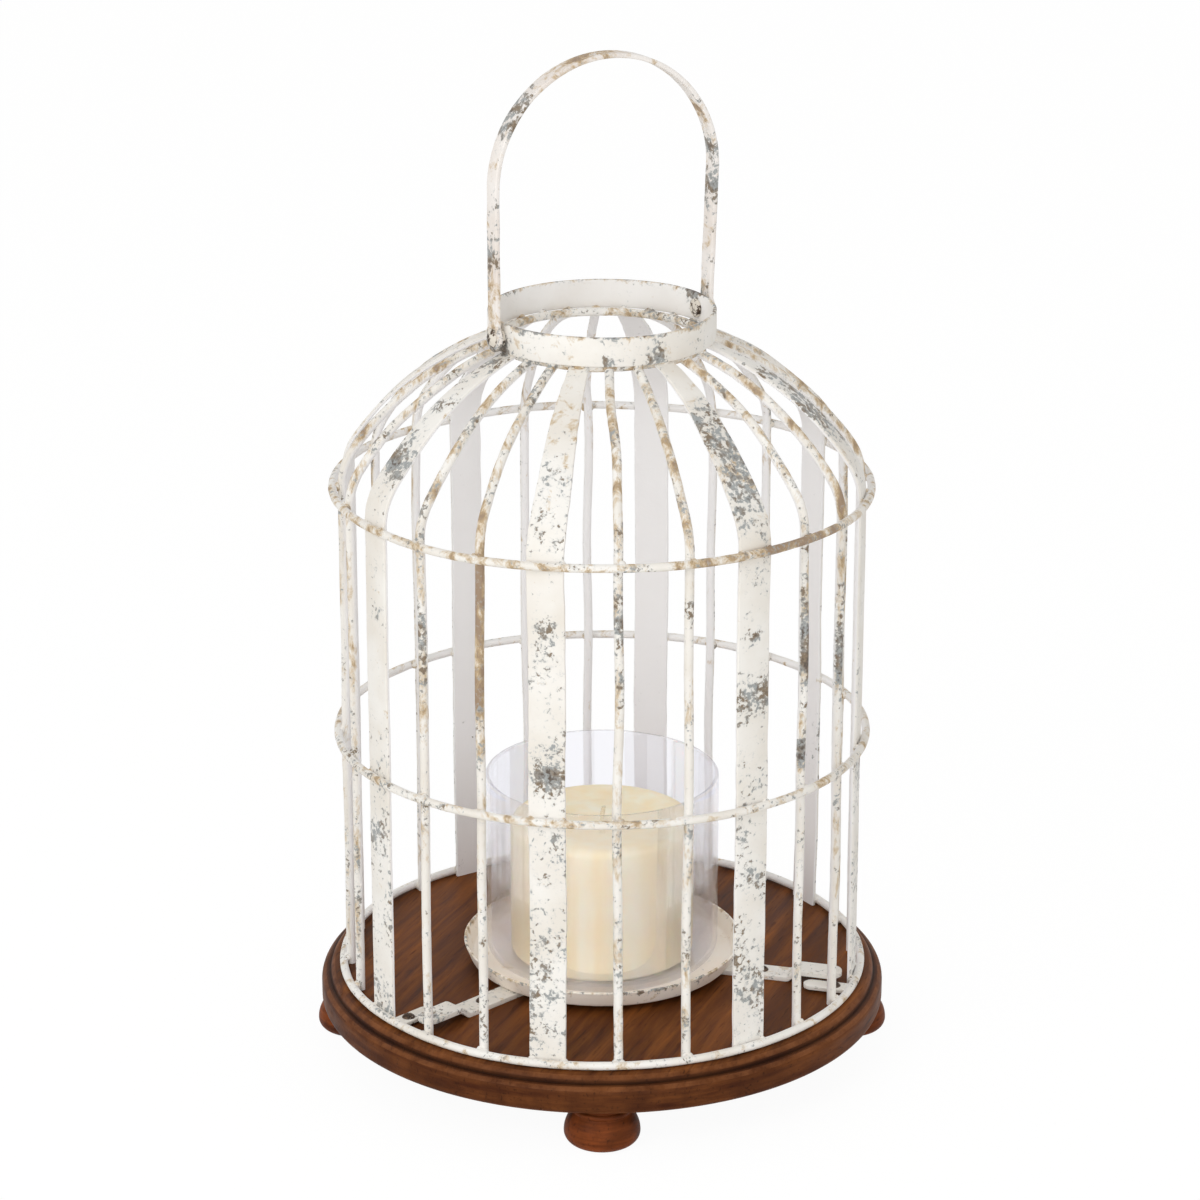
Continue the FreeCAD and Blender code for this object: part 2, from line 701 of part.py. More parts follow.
# The bail: a flat bar bent to an arch, with a round eye at the foot of each leg.
bail_arch = strip(
    "bail_arch",
    [
        ("bail_outside", "pivot_height", None),
        ("bail_outside", "bail_spring", "bail_outside"),
        ("0", "bail_outer_top", "bail_outside"),
        ("-bail_outside", "bail_spring", None),
        ("-bail_outside", "pivot_height", None),
        ("-bail_inside", "pivot_height", None),
        ("-bail_inside", "bail_spring", "-bail_inside"),
        ("0", "bail_inner_top", "-bail_inside"),
        ("bail_inside", "bail_spring", None),
        ("bail_inside", "pivot_height", None),
    ],
    "bail_width",
)
eye_right = crossbar("eye_right", "eye_radius", "bail_inside", "bail_outside")
eye_left = crossbar("eye_left", "eye_radius", "-bail_outside", "-bail_inside")
eye_bore = crossbar("eye_bore", "eye_hole", "-rivet_end", "rivet_end")
bail_stock = joined("bail_stock", [bail_arch, eye_right, eye_left])
keep(face_out(cut("bail_bored", bail_stock, eye_bore), value("bail_turn")), "bail")

# The glass, the candle that stands in it, and the wick.
glass = turned(
    "glass",
    [
        ("0", "tray_floor", None),
        ("glass_flat", "tray_floor", "glass_corner"),
        ("glass_radius", "glass_corner_top", None),
        ("glass_radius", "glass_lip_base", "glass_lip"),
        ("glass_lip_circle", "glass_top", "glass_lip"),
        ("glass_inside", "glass_lip_base", None),
        ("glass_inside", "glass_hollow_top", "-glass_hollow"),
        ("glass_hollow_flat", "candle_base", None),
        ("0", "candle_base", None),
    ],
)
keep(glass, "glass_cup")
candle = turned(
    "wax",
    [
        ("0", "candle_base", None),
        ("candle_low_flat", "candle_base", "candle_low_round"),
        ("candle_radius", "candle_low_side", None),
        ("candle_radius", "candle_shoulder", "candle_round"),
        ("candle_flat", "candle_top", None),
        ("candle_pool", "candle_pool_level", None),
        ("wick_radius", "candle_pool_level", None),
        ("wick_radius", "wick_base", None),
        ("0", "wick_base", None),
    ],
)
keep(candle, "candle")
keep(upright("wick_cord", "wick_radius", "wick_length", "wick_base"), "wick")

document.recompute()

# Every piece is looked at before any is written.
for thing in document.Objects:
    if "Invalid" in thing.State or "Error" in thing.State:
        raise RuntimeError(f"{thing.Name} did not compute: {thing.State}")
for thing in finished:
    if thing.Shape.isNull() or not thing.Shape.isValid():
        raise RuntimeError(f"{thing.Label} has no sound shape")
    if not thing.Shape.Solids:
        raise RuntimeError(f"{thing.Label} has no solid")

os.makedirs("parts", exist_ok=True)
for thing in finished:
    thing.Shape.exportStep(f"parts/{thing.Label}.step")
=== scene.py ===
# %% [markdown]
# # A birdcage candle lantern
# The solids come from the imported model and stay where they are. This script gives every piece the shape and
# finish that a hand-made lantern has: wire that is not quite straight, straps with soft edges, weld beads,
# rubbed paint, stained wood, poured wax. Lengths in the formulas are millimetres, as on a workshop drawing,
# and are turned to metres once, where a mesh is made.

# %% Load the frame
import math
import bmesh
import bpy
import numpy as np
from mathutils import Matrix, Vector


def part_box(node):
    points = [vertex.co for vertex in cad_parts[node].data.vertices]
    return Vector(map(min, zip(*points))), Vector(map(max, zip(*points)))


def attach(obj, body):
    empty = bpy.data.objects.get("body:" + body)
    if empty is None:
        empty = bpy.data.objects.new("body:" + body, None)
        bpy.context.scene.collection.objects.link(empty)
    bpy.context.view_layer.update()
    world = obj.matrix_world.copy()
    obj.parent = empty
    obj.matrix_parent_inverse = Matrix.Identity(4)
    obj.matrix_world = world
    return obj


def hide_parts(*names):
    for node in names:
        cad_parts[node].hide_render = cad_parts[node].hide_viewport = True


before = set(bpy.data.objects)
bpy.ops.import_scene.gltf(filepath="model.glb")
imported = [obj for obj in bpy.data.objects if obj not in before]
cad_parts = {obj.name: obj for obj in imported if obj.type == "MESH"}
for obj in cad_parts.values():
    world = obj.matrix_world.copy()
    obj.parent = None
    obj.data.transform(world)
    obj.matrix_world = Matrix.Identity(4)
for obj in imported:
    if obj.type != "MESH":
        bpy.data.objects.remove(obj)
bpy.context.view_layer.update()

# %% [markdown]
# ## The lantern's own measures
# A lantern is set out from its circles and levels. They are named once here, and every piece below is drawn
# from them, so that the pieces meet where the solids meet.

# %% Circles, levels and turns
FRONT = -90.0
BOARD_LOW = 19.9
BOARD_TOP = 37.9
BOARD_CIRCLE = 139.7
TIER_CIRCLE = 135.2
TIER_LEVEL = BOARD_TOP - 4.0
TRAY_LOW = BOARD_TOP + 2.5
TRAY_FLOOR = TRAY_LOW + 1.4
RING_LEVEL = 40.2
MIDDLE_LEVEL = 162.1
DOME_LEVEL = 286.4
PIVOT_LEVEL = 365.448
HOOP_CIRCLE = 128.7
HOOP_WIRE = 2.0
ROD_CIRCLE = 124.54
ROD_WIRE = 2.2
STRAP_OUT = 126.44
STRAP_THICK = 2.0
STRAP_HALF = 8.7
STRAP_SOFT = 0.6
STRAP_STEP = 45.0
ROD_STEP = 15.0
WELD_BITE = 0.04
BEND_LOW = 31.0
BEND_ANGLE = math.radians(34.6)
BEND_HIGH = 141.0
RIB_END = 51.0
CAGE_TURN = -56.6
BAIL_TURN = -60.5
ARM_TURN = -45.2
low_centre = ROD_CIRCLE - BEND_LOW
high_centre = low_centre - (BEND_HIGH - BEND_LOW) * math.cos(BEND_ANGLE)
high_level = DOME_LEVEL - (BEND_HIGH - BEND_LOW) * math.sin(BEND_ANGLE)
END_ANGLE = math.acos((RIB_END - high_centre) / BEND_HIGH)
chance = np.random.RandomState(7)
print("dome closes at", round(high_level + BEND_HIGH * math.sin(END_ANGLE), 1), "mm")

# %% [markdown]
# ## Putting a grid of points into a mesh
# Turned, bent and swept pieces are all a sheet of points with rows and columns. One function makes the faces
# of such a sheet for every piece, closes it round its columns, and caps its ends. The points come as one
# array, so nothing here walks over single vertices.

# %% Grid to mesh
def sheet_of(x, y, z):
    """One sheet of points from its three coordinates, each an array or a row or column of one."""
    return np.stack(np.broadcast_arrays(x, y, z), -1)


def grid_faces(sheet, ring=False):
    """Quads between neighbours in a sheet's rows and columns; with ring the last row meets the first."""
    rows, columns = sheet.shape[:2]
    index = np.arange(rows * columns).reshape(rows, columns)
    below = index if ring else index[:-1]
    above = np.roll(index, -1, 0) if ring else index[1:]
    quads = np.stack([below, np.roll(below, -1, 1), np.roll(above, -1, 1), above], -1)
    return quads.reshape(-1, 4).tolist()


def dress(name, points, faces, body, finish, nodes=(), crease=40.0, inside=None):
    """A mesh piece from points in mm: made, turned outwards, shaded, painted, and set on its body. inside is
    1 for each point on the back of a piece, where the paint is rubbed a little less and is painted whiter, as
    painted light that lifts the shade there."""
    mesh = bpy.data.meshes.new(name)
    mesh.from_pydata((points.reshape(-1, 3) / 1000.0).tolist(), [], faces)
    shell = bmesh.new()
    shell.from_mesh(mesh)
    bmesh.ops.remove_doubles(shell, verts=shell.verts, dist=1e-7)
    bmesh.ops.recalc_face_normals(shell, faces=shell.faces)
    shell.to_mesh(mesh)
    shell.free()
    mesh.shade_smooth()
    mesh.set_sharp_from_angle(angle=math.radians(crease))
    mesh.materials.append(finish)
    if inside is not None:
        mesh.attributes.new("inside", "FLOAT", "POINT").data.foreach_set("value", inside.ravel())
    piece = bpy.data.objects.new(name, mesh)
    bpy.context.scene.collection.objects.link(piece)
    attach(piece, body)
    if nodes:
        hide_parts(*nodes)
    print(f"{name}: {len(mesh.polygons)} faces on {body}")


def swept_faces(sheet, ring=False):
    """Faces of a swept skin, with a flat cap on each end when it is open."""
    rows, columns = sheet.shape[:2]
    faces = grid_faces(sheet, ring)
    if not ring:
        faces.append(list(range(columns)))
        faces.append(list(range((rows - 1) * columns, rows * columns)))
    return faces


def turned_about(points, azimuth):
    """Points drawn along +X, turned to an azimuth counted from the front, positive to the right."""
    angle = math.radians(azimuth + FRONT)
    c, s = math.cos(angle), math.sin(angle)
    x, y, z = np.moveaxis(points, -1, 0)
    return np.stack([c * x - s * y, s * x + c * y, z], -1)


def lathe(profile, sides=128):
    """Spin of a profile: (r, z) goes to (r cos a, r sin a, z) for a once round. Ends on the axis close."""
    angle = np.linspace(0, 2 * np.pi, sides, endpoint=False)
    r = profile[:, :1]
    z = np.broadcast_to(profile[:, 1:], (len(profile), sides))
    return np.stack([r * np.cos(angle), r * np.sin(angle), z], -1)


def rounded(corners, steps=6):
    """A profile with rounded corners. Each corner is (r, z, radius): the arc of that radius touches both
    edges, at a distance radius / tan(half the corner's angle) from the corner."""
    line = []
    count = len(corners)
    for i, (r, z, radius) in enumerate(corners):
        here = np.array([r, z], float)
        if radius == 0 or i in (0, count - 1):
            line.append(here[None])
            continue
        before = np.array(corners[i - 1][:2], float) - here
        after = np.array(corners[i + 1][:2], float) - here
        before /= np.linalg.norm(before)
        after /= np.linalg.norm(after)
        half = 0.5 * math.acos(np.clip(before @ after, -1, 1))
        reach = radius / math.tan(half)
        middle = here + (before + after) / np.linalg.norm(before + after) * radius / math.sin(half)
        start = here + before * reach - middle
        end = here + after * reach - middle
        t = np.linspace(0, 1, steps)[:, None]
        turn = math.pi - 2 * half
        line.append(middle + (np.sin((1 - t) * turn) * start + np.sin(t * turn) * end) / math.sin(turn))
    return np.concatenate(line)


def corner_arcs(steps):
    """The angles along the four round corners of a rectangle, once round."""
    a = np.linspace(0, np.pi / 2, steps)
    return np.concatenate([a, a + np.pi / 2, a + np.pi, a + 1.5 * np.pi])


def bar_section(half_thick, soft, steps=4):
    """A flat bar's section: a rectangle with quarter-circle corners. Gives the thickness, which side of the
    bar each point is on, and the corner's arc, so that the width can change along the bar:
    thick = t0 + soft cos a, wide = side w0 + soft sin a."""
    arcs = corner_arcs(steps)
    sign_t = np.repeat([1, -1, -1, 1], steps)
    sign_w = np.repeat([1, 1, -1, -1], steps)
    thick = sign_t * (half_thick - soft) + soft * np.cos(arcs)
    return thick, sign_w, soft * np.sin(arcs)


print("a rounded corner takes", len(rounded([(0, 0, 0), (1, 0, 0.2), (1, 1, 0)])) - 2, "points")


# %% [markdown]
# ## Mixing colours and building materials
# Paint and wood are written as sRGB hex values, as a colour chart gives them, and one function turns them to
# the linear numbers that shaders use. One more function adds any node with its settings and links, so that a
# material reads from top to bottom like a recipe: where am I, which blots lie here, which colours they take.

# %% Colour and node helpers
def colour(code):
    """sRGB hex to linear RGBA: c / 12.92 below 0.04045, ((c + 0.055) / 1.055) ** 2.4 above it."""
    raw = np.array([int(code[i:i + 2], 16) for i in (1, 3, 5)]) / 255.0
    linear = np.where(raw <= 0.04045, raw / 12.92, ((raw + 0.055) / 1.055) ** 2.4)
    return (*linear.tolist(), 1.0)


def add(tree, kind, inputs=None, out=0, stops=(), **settings):
    """Add a node with its settings and links and give one of its outputs. An input is a number, a colour or
    another node's output; stops are the (place, grey) marks of a ramp."""
    node = tree.nodes.new("ShaderNode" + kind)
    for key, setting in settings.items():
        setattr(node, key, setting)
    for key, given in (inputs or {}).items():
        if isinstance(given, bpy.types.NodeSocket):
            tree.links.new(given, node.inputs[key])
        else:
            node.inputs[key].default_value = given
    for index, (place, grey) in enumerate(stops):
        marks = node.color_ramp.elements
        mark = marks[index] if index < len(marks) else marks.new(place)
        mark.position = place
        mark.color = (grey, grey, grey, 1.0)
    return node.outputs[out] if len(node.outputs) else node


# A mix of two colours has its answer in output 2, and takes the colours in inputs 6 and 7.
COLOURS = {"out": 2, "data_type": "RGBA"}


def per_metre(size_mm):
    """The scale at which a noise has blots of about this many millimetres."""
    return 1000.0 / size_mm


def new_finish(name):
    """An empty material, its node tree and its main shader."""
    finish = bpy.data.materials.new(name)
    finish.use_nodes = True
    tree = finish.node_tree
    tree.nodes.clear()
    shader = add(tree, "BsdfPrincipled")
    add(tree, "OutputMaterial", {"Surface": shader})
    print("finish", name)
    return finish, tree, shader.node.inputs


print("mid grey in linear numbers:", [round(c, 3) for c in colour("#808080")])


# %% [markdown]
# ## Chalk paint, rubbed and chipped
# The metal was brushed with a matt chalk paint in an off-white, then rubbed back, so that grey primer and
# brown steel show in clusters of small flakes, and a tan glaze stays on the wire. A photograph of paint would
# do, but layers of noise at real sizes keep the flakes crisp from close by and different on every rib. One
# noise gathers the flakes in clusters, a fine one cuts their outlines, the height says where the rubbing was
# hardest, and a few named places were rubbed to the metal. The backs of the straps, rods, hoops and collar
# are rubbed a little less, and their coat is painted whiter: painted light that lifts the shade inside the
# cage.

# %% Paint
RAMP_HIGH = 500.0


def chalk_paint(name, flakes, tan, flake_mm, rubbed=(), glazed=(), ground=("#F0EDE7", "#E6E0D6"),
                drawn=1.0, hard=0.11):
    """Off-white chalk paint. flakes and tan are (height in mm, limit) marks: a blot shows where its noise is
    over the limit, so a low limit shows much. rubbed and glazed are (x, y, z, radius) places in mm with more,
    and hard is how far those lower the limit. drawn is below 1 where the glaze was drawn out upright along a
    wire. ground is the paint itself, in its two tones. Where the inside attribute is set, the coat is mixed
    towards white as painted light on the shaded backs."""
    finish, tree, skin = new_finish(name)
    place = add(tree, "TexCoord", out="Object")
    height = add(tree, "SeparateXYZ", {"Vector": place}, out="Z")
    rise = add(tree, "Math", {0: height, 1: 1000.0 / RAMP_HIGH}, operation="MULTIPLY")
    back = add(tree, "Attribute", out="Fac", attribute_name="inside")
    limits = []
    for marks, spots in ((flakes, rubbed), (tan, glazed)):
        stops = [(level / RAMP_HIGH, grey) for level, grey in marks]
        limit = add(tree, "ValToRGB", {"Fac": rise}, stops=stops)
        for x, y, z, radius in spots:
            spot = (x / 1000.0, y / 1000.0, z / 1000.0)
            away = add(tree, "VectorMath", {0: place, 1: spot}, out="Value", operation="DISTANCE")
            ease = add(tree, "MapRange", {"Value": away, "From Min": radius / 4000.0,
                                          "From Max": radius / 800.0, "To Min": hard, "To Max": 0.0})
            limit = add(tree, "Math", {0: limit, 1: ease}, operation="SUBTRACT")
        limits.append(add(tree, "Math", {0: back, 1: 0.1, 2: limit}, operation="MULTIPLY_ADD"))
    cloud = add(tree, "TexNoise", {"Vector": place, "Scale": per_metre(30.0), "Detail": 4.0})
    pale = add(tree, "MapRange", {"Value": cloud, "From Min": 0.38, "From Max": 0.66})
    cream = add(tree, "Mix", {0: pale, 6: colour(ground[0]), 7: colour(ground[1])}, **COLOURS)
    # Painted light: the backs lie in the cage's shade, so their coat is mixed towards white to lift it.
    painted_back_light = add(tree, "Math", {0: back, 1: 0.9}, operation="MULTIPLY")
    coat = add(tree, "Mix", {0: painted_back_light, 6: cream, 7: colour("#F7F6F7")}, **COLOURS)
    stroke = add(tree, "Mapping", {"Vector": place, "Scale": (1.0, 1.0, drawn)})
    glaze = add(tree, "TexNoise", {"Vector": stroke, "Scale": per_metre(9.0), "Detail": 6.0, "Roughness": 0.7,
                                   "Distortion": 0.4})
    glaze_over = add(tree, "Math", {0: glaze, 1: limits[1]}, operation="SUBTRACT")
    glaze_share = add(tree, "MapRange", {"Value": glaze_over, "From Max": 0.12, "To Max": 0.85})
    glaze_core = add(tree, "MapRange", {"Value": glaze_over, "From Min": 0.08, "From Max": 0.19})
    umber = add(tree, "Mix", {0: glaze_core, 6: colour("#BE9F69"), 7: colour("#86653E")}, **COLOURS)
    warm = add(tree, "Mix", {0: glaze_share, 6: coat, 7: umber}, **COLOURS)
    cluster = add(tree, "TexNoise", {"Vector": place, "Scale": per_metre(26.0), "Detail": 4.0,
                                     "Roughness": 0.65, "Distortion": 0.4})
    flake = add(tree, "TexNoise", {"Vector": place, "Scale": per_metre(flake_mm), "Detail": 5.0,
                                   "Roughness": 0.66, "Distortion": 0.3})
    worn = add(tree, "Mix", {0: 0.42, 2: flake, 3: cluster}, data_type="FLOAT")
    over = add(tree, "Math", {0: worn, 1: limits[0]}, operation="SUBTRACT")
    bare = add(tree, "MapRange", {"Value": over, "From Max": 0.025})
    thin = add(tree, "MapRange", {"Value": over, "From Min": -0.045, "From Max": 0.01, "To Max": 0.45})
    rubbed_thin = add(tree, "Mix", {0: thin, 6: warm, 7: colour("#C4C7C6")}, **COLOURS)
    tone = add(tree, "TexNoise", {"Vector": place, "Scale": per_metre(7.0), "Detail": 3.0})
    which = add(tree, "MapRange", {"Value": tone, "From Min": 0.42, "From Max": 0.6})
    primer = add(tree, "Mix", {0: which, 6: colour("#A0A3A2"), 7: colour("#85745F")}, **COLOURS)
    deep = add(tree, "MapRange", {"Value": over, "From Min": 0.07, "From Max": 0.14})
    metal = add(tree, "Mix", {0: deep, 6: primer, 7: colour("#5A4F46")}, **COLOURS)
    look = add(tree, "Mix", {0: bare, 6: rubbed_thin, 7: metal}, **COLOURS)
    tree.links.new(look, skin["Base Color"])
    grit = add(tree, "TexNoise", {"Vector": place, "Scale": per_metre(1.8), "Detail": 3.0})
    relief = add(tree, "Math", {0: bare, 1: -1.6, 2: grit}, operation="MULTIPLY_ADD")
    bump = add(tree, "Bump", {"Height": relief, "Strength": 0.45, "Distance": 0.0002})
    tree.links.new(bump, skin["Normal"])
    gloss = add(tree, "MapRange", {"Value": bare, "To Min": 0.62, "To Max": 0.48})
    tree.links.new(gloss, skin["Roughness"])
    return finish


def on_rib(azimuth, level, radius):
    """A place on a rib, with the azimuth counted from +X: r is the cage's below the dome, and
    c + sqrt(R^2 - (z - h)^2) on the dome's arcs. It serves for a hoop too, which lies close outside."""
    r = ROD_CIRCLE
    if level > DOME_LEVEL:
        r = low_centre + math.sqrt(BEND_LOW ** 2 - min(level - DOME_LEVEL, BEND_LOW) ** 2)
    if level > DOME_LEVEL + BEND_LOW * math.sin(BEND_ANGLE):
        r = high_centre + math.sqrt(BEND_HIGH ** 2 - (level - high_level) ** 2)
    turn = math.radians(azimuth)
    return (r * math.cos(turn), r * math.sin(turn), level, radius)


strap_paint = chalk_paint(
    "chalk_paint_on_strap",
    [(40, 0.540), (140, 0.545), (180, 0.580), (285, 0.590), (315, 0.565), (360, 0.560)],
    [(40, 0.66), (280, 0.63), (310, 0.58), (365, 0.58)], 2.6,
    [on_rib(-56.6, 330, 20), on_rib(-56.6, 314, 13), on_rib(-56.6, 246, 6), on_rib(-56.6, 218, 15),
     on_rib(213.4, 314, 11), on_rib(213.4, 246, 8), on_rib(258.4, 256, 8), on_rib(258.4, 189, 11),
     on_rib(258.4, 181, 8), on_rib(-11.6, 330, 24)],
    [on_rib(-56.6, 322, 17), on_rib(258.4, 338, 12)])
rod_paint = chalk_paint(
    "chalk_paint_on_rod",
    [(40, 0.565), (200, 0.555), (345, 0.555), (362, 0.530)],
    [(40, 0.54), (150, 0.515), (240, 0.495), (290, 0.47), (365, 0.47)], 2.2,
    [on_rib(-26.6, 222, 30), on_rib(-41.6, 232, 34), on_rib(-41.6, 180, 9), on_rib(273.4, 262, 11),
     on_rib(288.4, 264, 8), on_rib(228.4, 236, 24)],
    [on_rib(243.4, 268, 22), on_rib(243.4, 222, 26), on_rib(-26.6, 222, 26), on_rib(228.4, 210, 24)],
    drawn=0.4)
hoop_paint = chalk_paint(
    "chalk_paint_on_hoop",
    [(40, 0.575), (165, 0.565), (290, 0.565), (365, 0.545)],
    [(40, 0.54), (165, 0.49), (290, 0.46), (365, 0.47)], 2.2, (),
    [on_rib(-52.0, DOME_LEVEL, 24), on_rib(-42.0, DOME_LEVEL, 24)])
collar_paint = chalk_paint(
    "chalk_paint_on_collar",
    [(356, 0.58), (359, 0.61), (370.6, 0.61), (372, 0.48)],
    [(356, 0.55), (359, 0.62), (370.6, 0.60), (372, 0.42)], 2.6,
    [(26, -47, 361, 11), (44, 28, 369, 7), (-46, -27, 361, 8), (3, -54, 360, 5)], hard=0.16)
bail_paint = chalk_paint(
    "chalk_paint_on_bail",
    [(360, 0.59), (400, 0.60), (450, 0.59), (496, 0.59)],
    [(360, 0.55), (400, 0.58), (450, 0.56), (496, 0.53)], 2.6,
    [(-50, -28, 403, 12), (51, 29, 422, 14), (51, 29, 444, 8), (-38, -21, 472, 15), (-50, -28, 362, 9)],
    [(-50, -28, 382, 22), (-9, -5, 492, 18), (46, 26, 460, 12)], ("#F1ECE7", "#E6DCD3"), hard=0.16)
# The tray's paint is set brighter than the cage's. This is painted light that lifts the shade lying on the
# pan.
tray_paint_with_painted_light = chalk_paint(
    "chalk_paint_on_tray_with_painted_light",
    [(37, 0.63), (46, 0.63), (47.7, 0.59), (49.2, 0.53)],
    [(37, 0.58), (46, 0.61), (47.7, 0.54), (49.2, 0.45)], 2.4, (), (), ("#FFF9EF", "#FCF1E2"))
arm_paint = chalk_paint(
    "chalk_paint_on_arms",
    [(37, 0.60), (46, 0.58)],
    [(37, 0.60), (46, 0.60)], 2.2, [(-82, -82, 43, 10)], hard=0.05)

# %% [markdown]
# ## Walnut-stained wood
# The board and the feet are turned from a cheap hardwood and stained dark. The stain sinks into the long
# grain, so the lines run one way across the board. The rim is coloured darker. The groove between the two
# tiers is painted darker as painted shade. The turned edges are lighter, with wear and a painted highlight
# together. A wave texture makes too regular a plank, so a noise that is stretched along the grain draws the
# lines.

# %% Wood
def stained_wood(name, turn, dark, light, rubbed=(), rim_dark=0.0, shaded_grooves=()):
    """Walnut stain with an oiled, satin look. The grain runs level, turned from X by so many degrees, and its
    noise is stretched 12 times along it; on the board's rim the lines run round, as the chisel left them.
    rubbed are the lighter edges, where wear and a painted highlight on the turned rounds lie together, each a
    (radius, width) in mm round the board's axis. rim_dark is how much darker the rim is. shaded_grooves are
    the grooves painted darker as painted shade, each a (radius, level, width) in mm."""
    finish, tree, skin = new_finish(name)
    place = add(tree, "TexCoord", out="Object")
    grain = add(tree, "Mapping", {"Vector": place, "Rotation": (0, 0, math.radians(turn)),
                                  "Scale": (12.0, 1.0, 1.4)}, vector_type="TEXTURE")
    lines = add(tree, "TexNoise", {"Vector": grain, "Scale": per_metre(6.0), "Detail": 6.0, "Roughness": 0.66,
                                   "Distortion": 0.5})
    pores = add(tree, "TexNoise", {"Vector": grain, "Scale": per_metre(1.6), "Detail": 3.0, "Roughness": 0.7})
    broad = add(tree, "TexNoise", {"Vector": grain, "Scale": per_metre(16.0), "Detail": 3.0})
    level = add(tree, "VectorMath", {0: place, 1: (1.0, 1.0, 0.0)}, operation="MULTIPLY")
    reach = add(tree, "VectorMath", {0: level}, out="Value", operation="LENGTH")
    turned = add(tree, "Mapping", {"Vector": place, "Scale": (10.0, 10.0, 1.0)}, vector_type="TEXTURE")
    rings = add(tree, "TexNoise", {"Vector": turned, "Scale": per_metre(4.0), "Detail": 6.0,
                                   "Roughness": 0.62})
    rim = add(tree, "MapRange", {"Value": reach, "From Min": (TIER_CIRCLE - 3.2) / 1000.0,
                                 "From Max": TIER_CIRCLE / 1000.0})
    figure = add(tree, "Mix", {0: rim, 2: lines, 3: rings}, data_type="FLOAT")
    early = add(tree, "MapRange", {"Value": figure, "From Min": 0.32, "From Max": 0.70})
    plank = add(tree, "Mix", {0: early, 6: colour(dark), 7: colour(light)}, **COLOURS)
    cast = add(tree, "MapRange", {"Value": broad, "From Min": 0.40, "From Max": 0.64, "To Max": 0.6})
    stain = add(tree, "Mix", {0: cast, 6: plank, 7: colour("#3B1D0B")}, **COLOURS)
    edge_share = add(tree, "Math", {0: rim, 1: rim_dark}, operation="MULTIPLY")
    stain = add(tree, "Mix", {0: edge_share, 6: stain, 7: colour("#34130A")}, **COLOURS)
    holes = add(tree, "MapRange", {"Value": pores, "From Min": 0.58, "From Max": 0.70, "To Max": 0.6})
    wood = add(tree, "Mix", {0: holes, 6: stain, 7: colour("#241006")}, **COLOURS)
    wear = add(tree, "TexNoise", {"Vector": place, "Scale": per_metre(12.0), "Detail": 5.0, "Roughness": 0.7})
    # The lighter turned edges: wear, together with a painted highlight on the rounds.
    for radius, width in rubbed:
        near = add(tree, "Math", {0: reach, 1: radius / 1000.0, 2: width / 1000.0}, operation="COMPARE")
        share = add(tree, "MapRange", {"Value": wear, "From Min": 0.36, "From Max": 0.62, "To Max": 0.4})
        thin = add(tree, "Math", {0: near, 1: share}, operation="MULTIPLY")
        wood = add(tree, "Mix", {0: thin, 6: wood, 7: colour("#96603C")}, **COLOURS)
    height = add(tree, "SeparateXYZ", {"Vector": place}, out="Z")
    profile = add(tree, "CombineXYZ", {"X": reach, "Y": height})
    # Painted shade: the groove between the tiers is darkened here.
    for radius, groove, width in shaded_grooves:
        spot = (radius / 1000.0, groove / 1000.0, 0.0)
        away = add(tree, "VectorMath", {0: profile, 1: spot}, out="Value", operation="DISTANCE")
        painted_groove_shade = add(tree, "MapRange", {"Value": away, "From Max": width / 1000.0,
                                      "To Min": 0.85, "To Max": 0.0})
        wood = add(tree, "Mix", {0: painted_groove_shade, 6: wood, 7: colour("#1A0A03")}, **COLOURS)
    tree.links.new(wood, skin["Base Color"])
    relief = add(tree, "Mix", {0: 0.5, 2: lines, 3: pores}, data_type="FLOAT")
    bump = add(tree, "Bump", {"Height": relief, "Strength": 0.4, "Distance": 0.0005})
    tree.links.new(bump, skin["Normal"])
    gloss = add(tree, "MapRange", {"Value": lines, "From Min": 0.3, "From Max": 0.7,
                                   "To Min": 0.42, "To Max": 0.6})
    tree.links.new(gloss, skin["Roughness"])
    skin["Specular IOR Level"].default_value = 0.08
    return finish


GRAIN_TURN = 68.0
# The board's edges get wear with a painted highlight, and its groove a painted shade.
board_wood = stained_wood("walnut_stained_board", GRAIN_TURN, "#4A240D", "#8E5529",
                          rubbed=[(TIER_CIRCLE - 1.2, 0.9), (BOARD_CIRCLE - 1.4, 0.9)], rim_dark=0.45,
                          shaded_grooves=[(TIER_CIRCLE, TIER_LEVEL, 2.6)])
foot_wood = stained_wood("walnut_stained_feet", GRAIN_TURN, "#401B0B", "#8C4821")

# %% [markdown]
# ## Glass, wax, steel and cotton
# The cup is clear soda glass, which leans to a cold tint at its rim. Lamps reach the candle through it, as
# they do through any clean tumbler, so the glass counts as clear for shadows. The candle is poured wax: light
# goes a few millimetres into it and softens its edges. Screws and rivets are blackened steel, with flakes of
# the paint left on them, and the wick is cotton braid.

# %% Glass
cup_glass, tree, skin = new_finish("clear_soda_glass")
skin["Base Color"].default_value = colour("#FDFDFF")
skin["Transmission Weight"].default_value = 1.0
skin["Roughness"].default_value = 0.0
skin["IOR"].default_value = 1.45
clear = add(tree, "BsdfTransparent", {"Color": colour("#FBFBFE")})
wall = add(tree, "MixShader", {0: 0.7, 1: skin["IOR"].node.outputs[0], 2: clear})
open_way = add(tree, "BsdfTransparent", {"Color": (1, 1, 1, 1)})
shaded = add(tree, "LightPath", out="Is Shadow Ray")
glazing = add(tree, "MixShader", {0: shaded, 1: wall, 2: open_way})
tree.links.new(glazing, tree.get_output_node("ALL").inputs["Surface"])

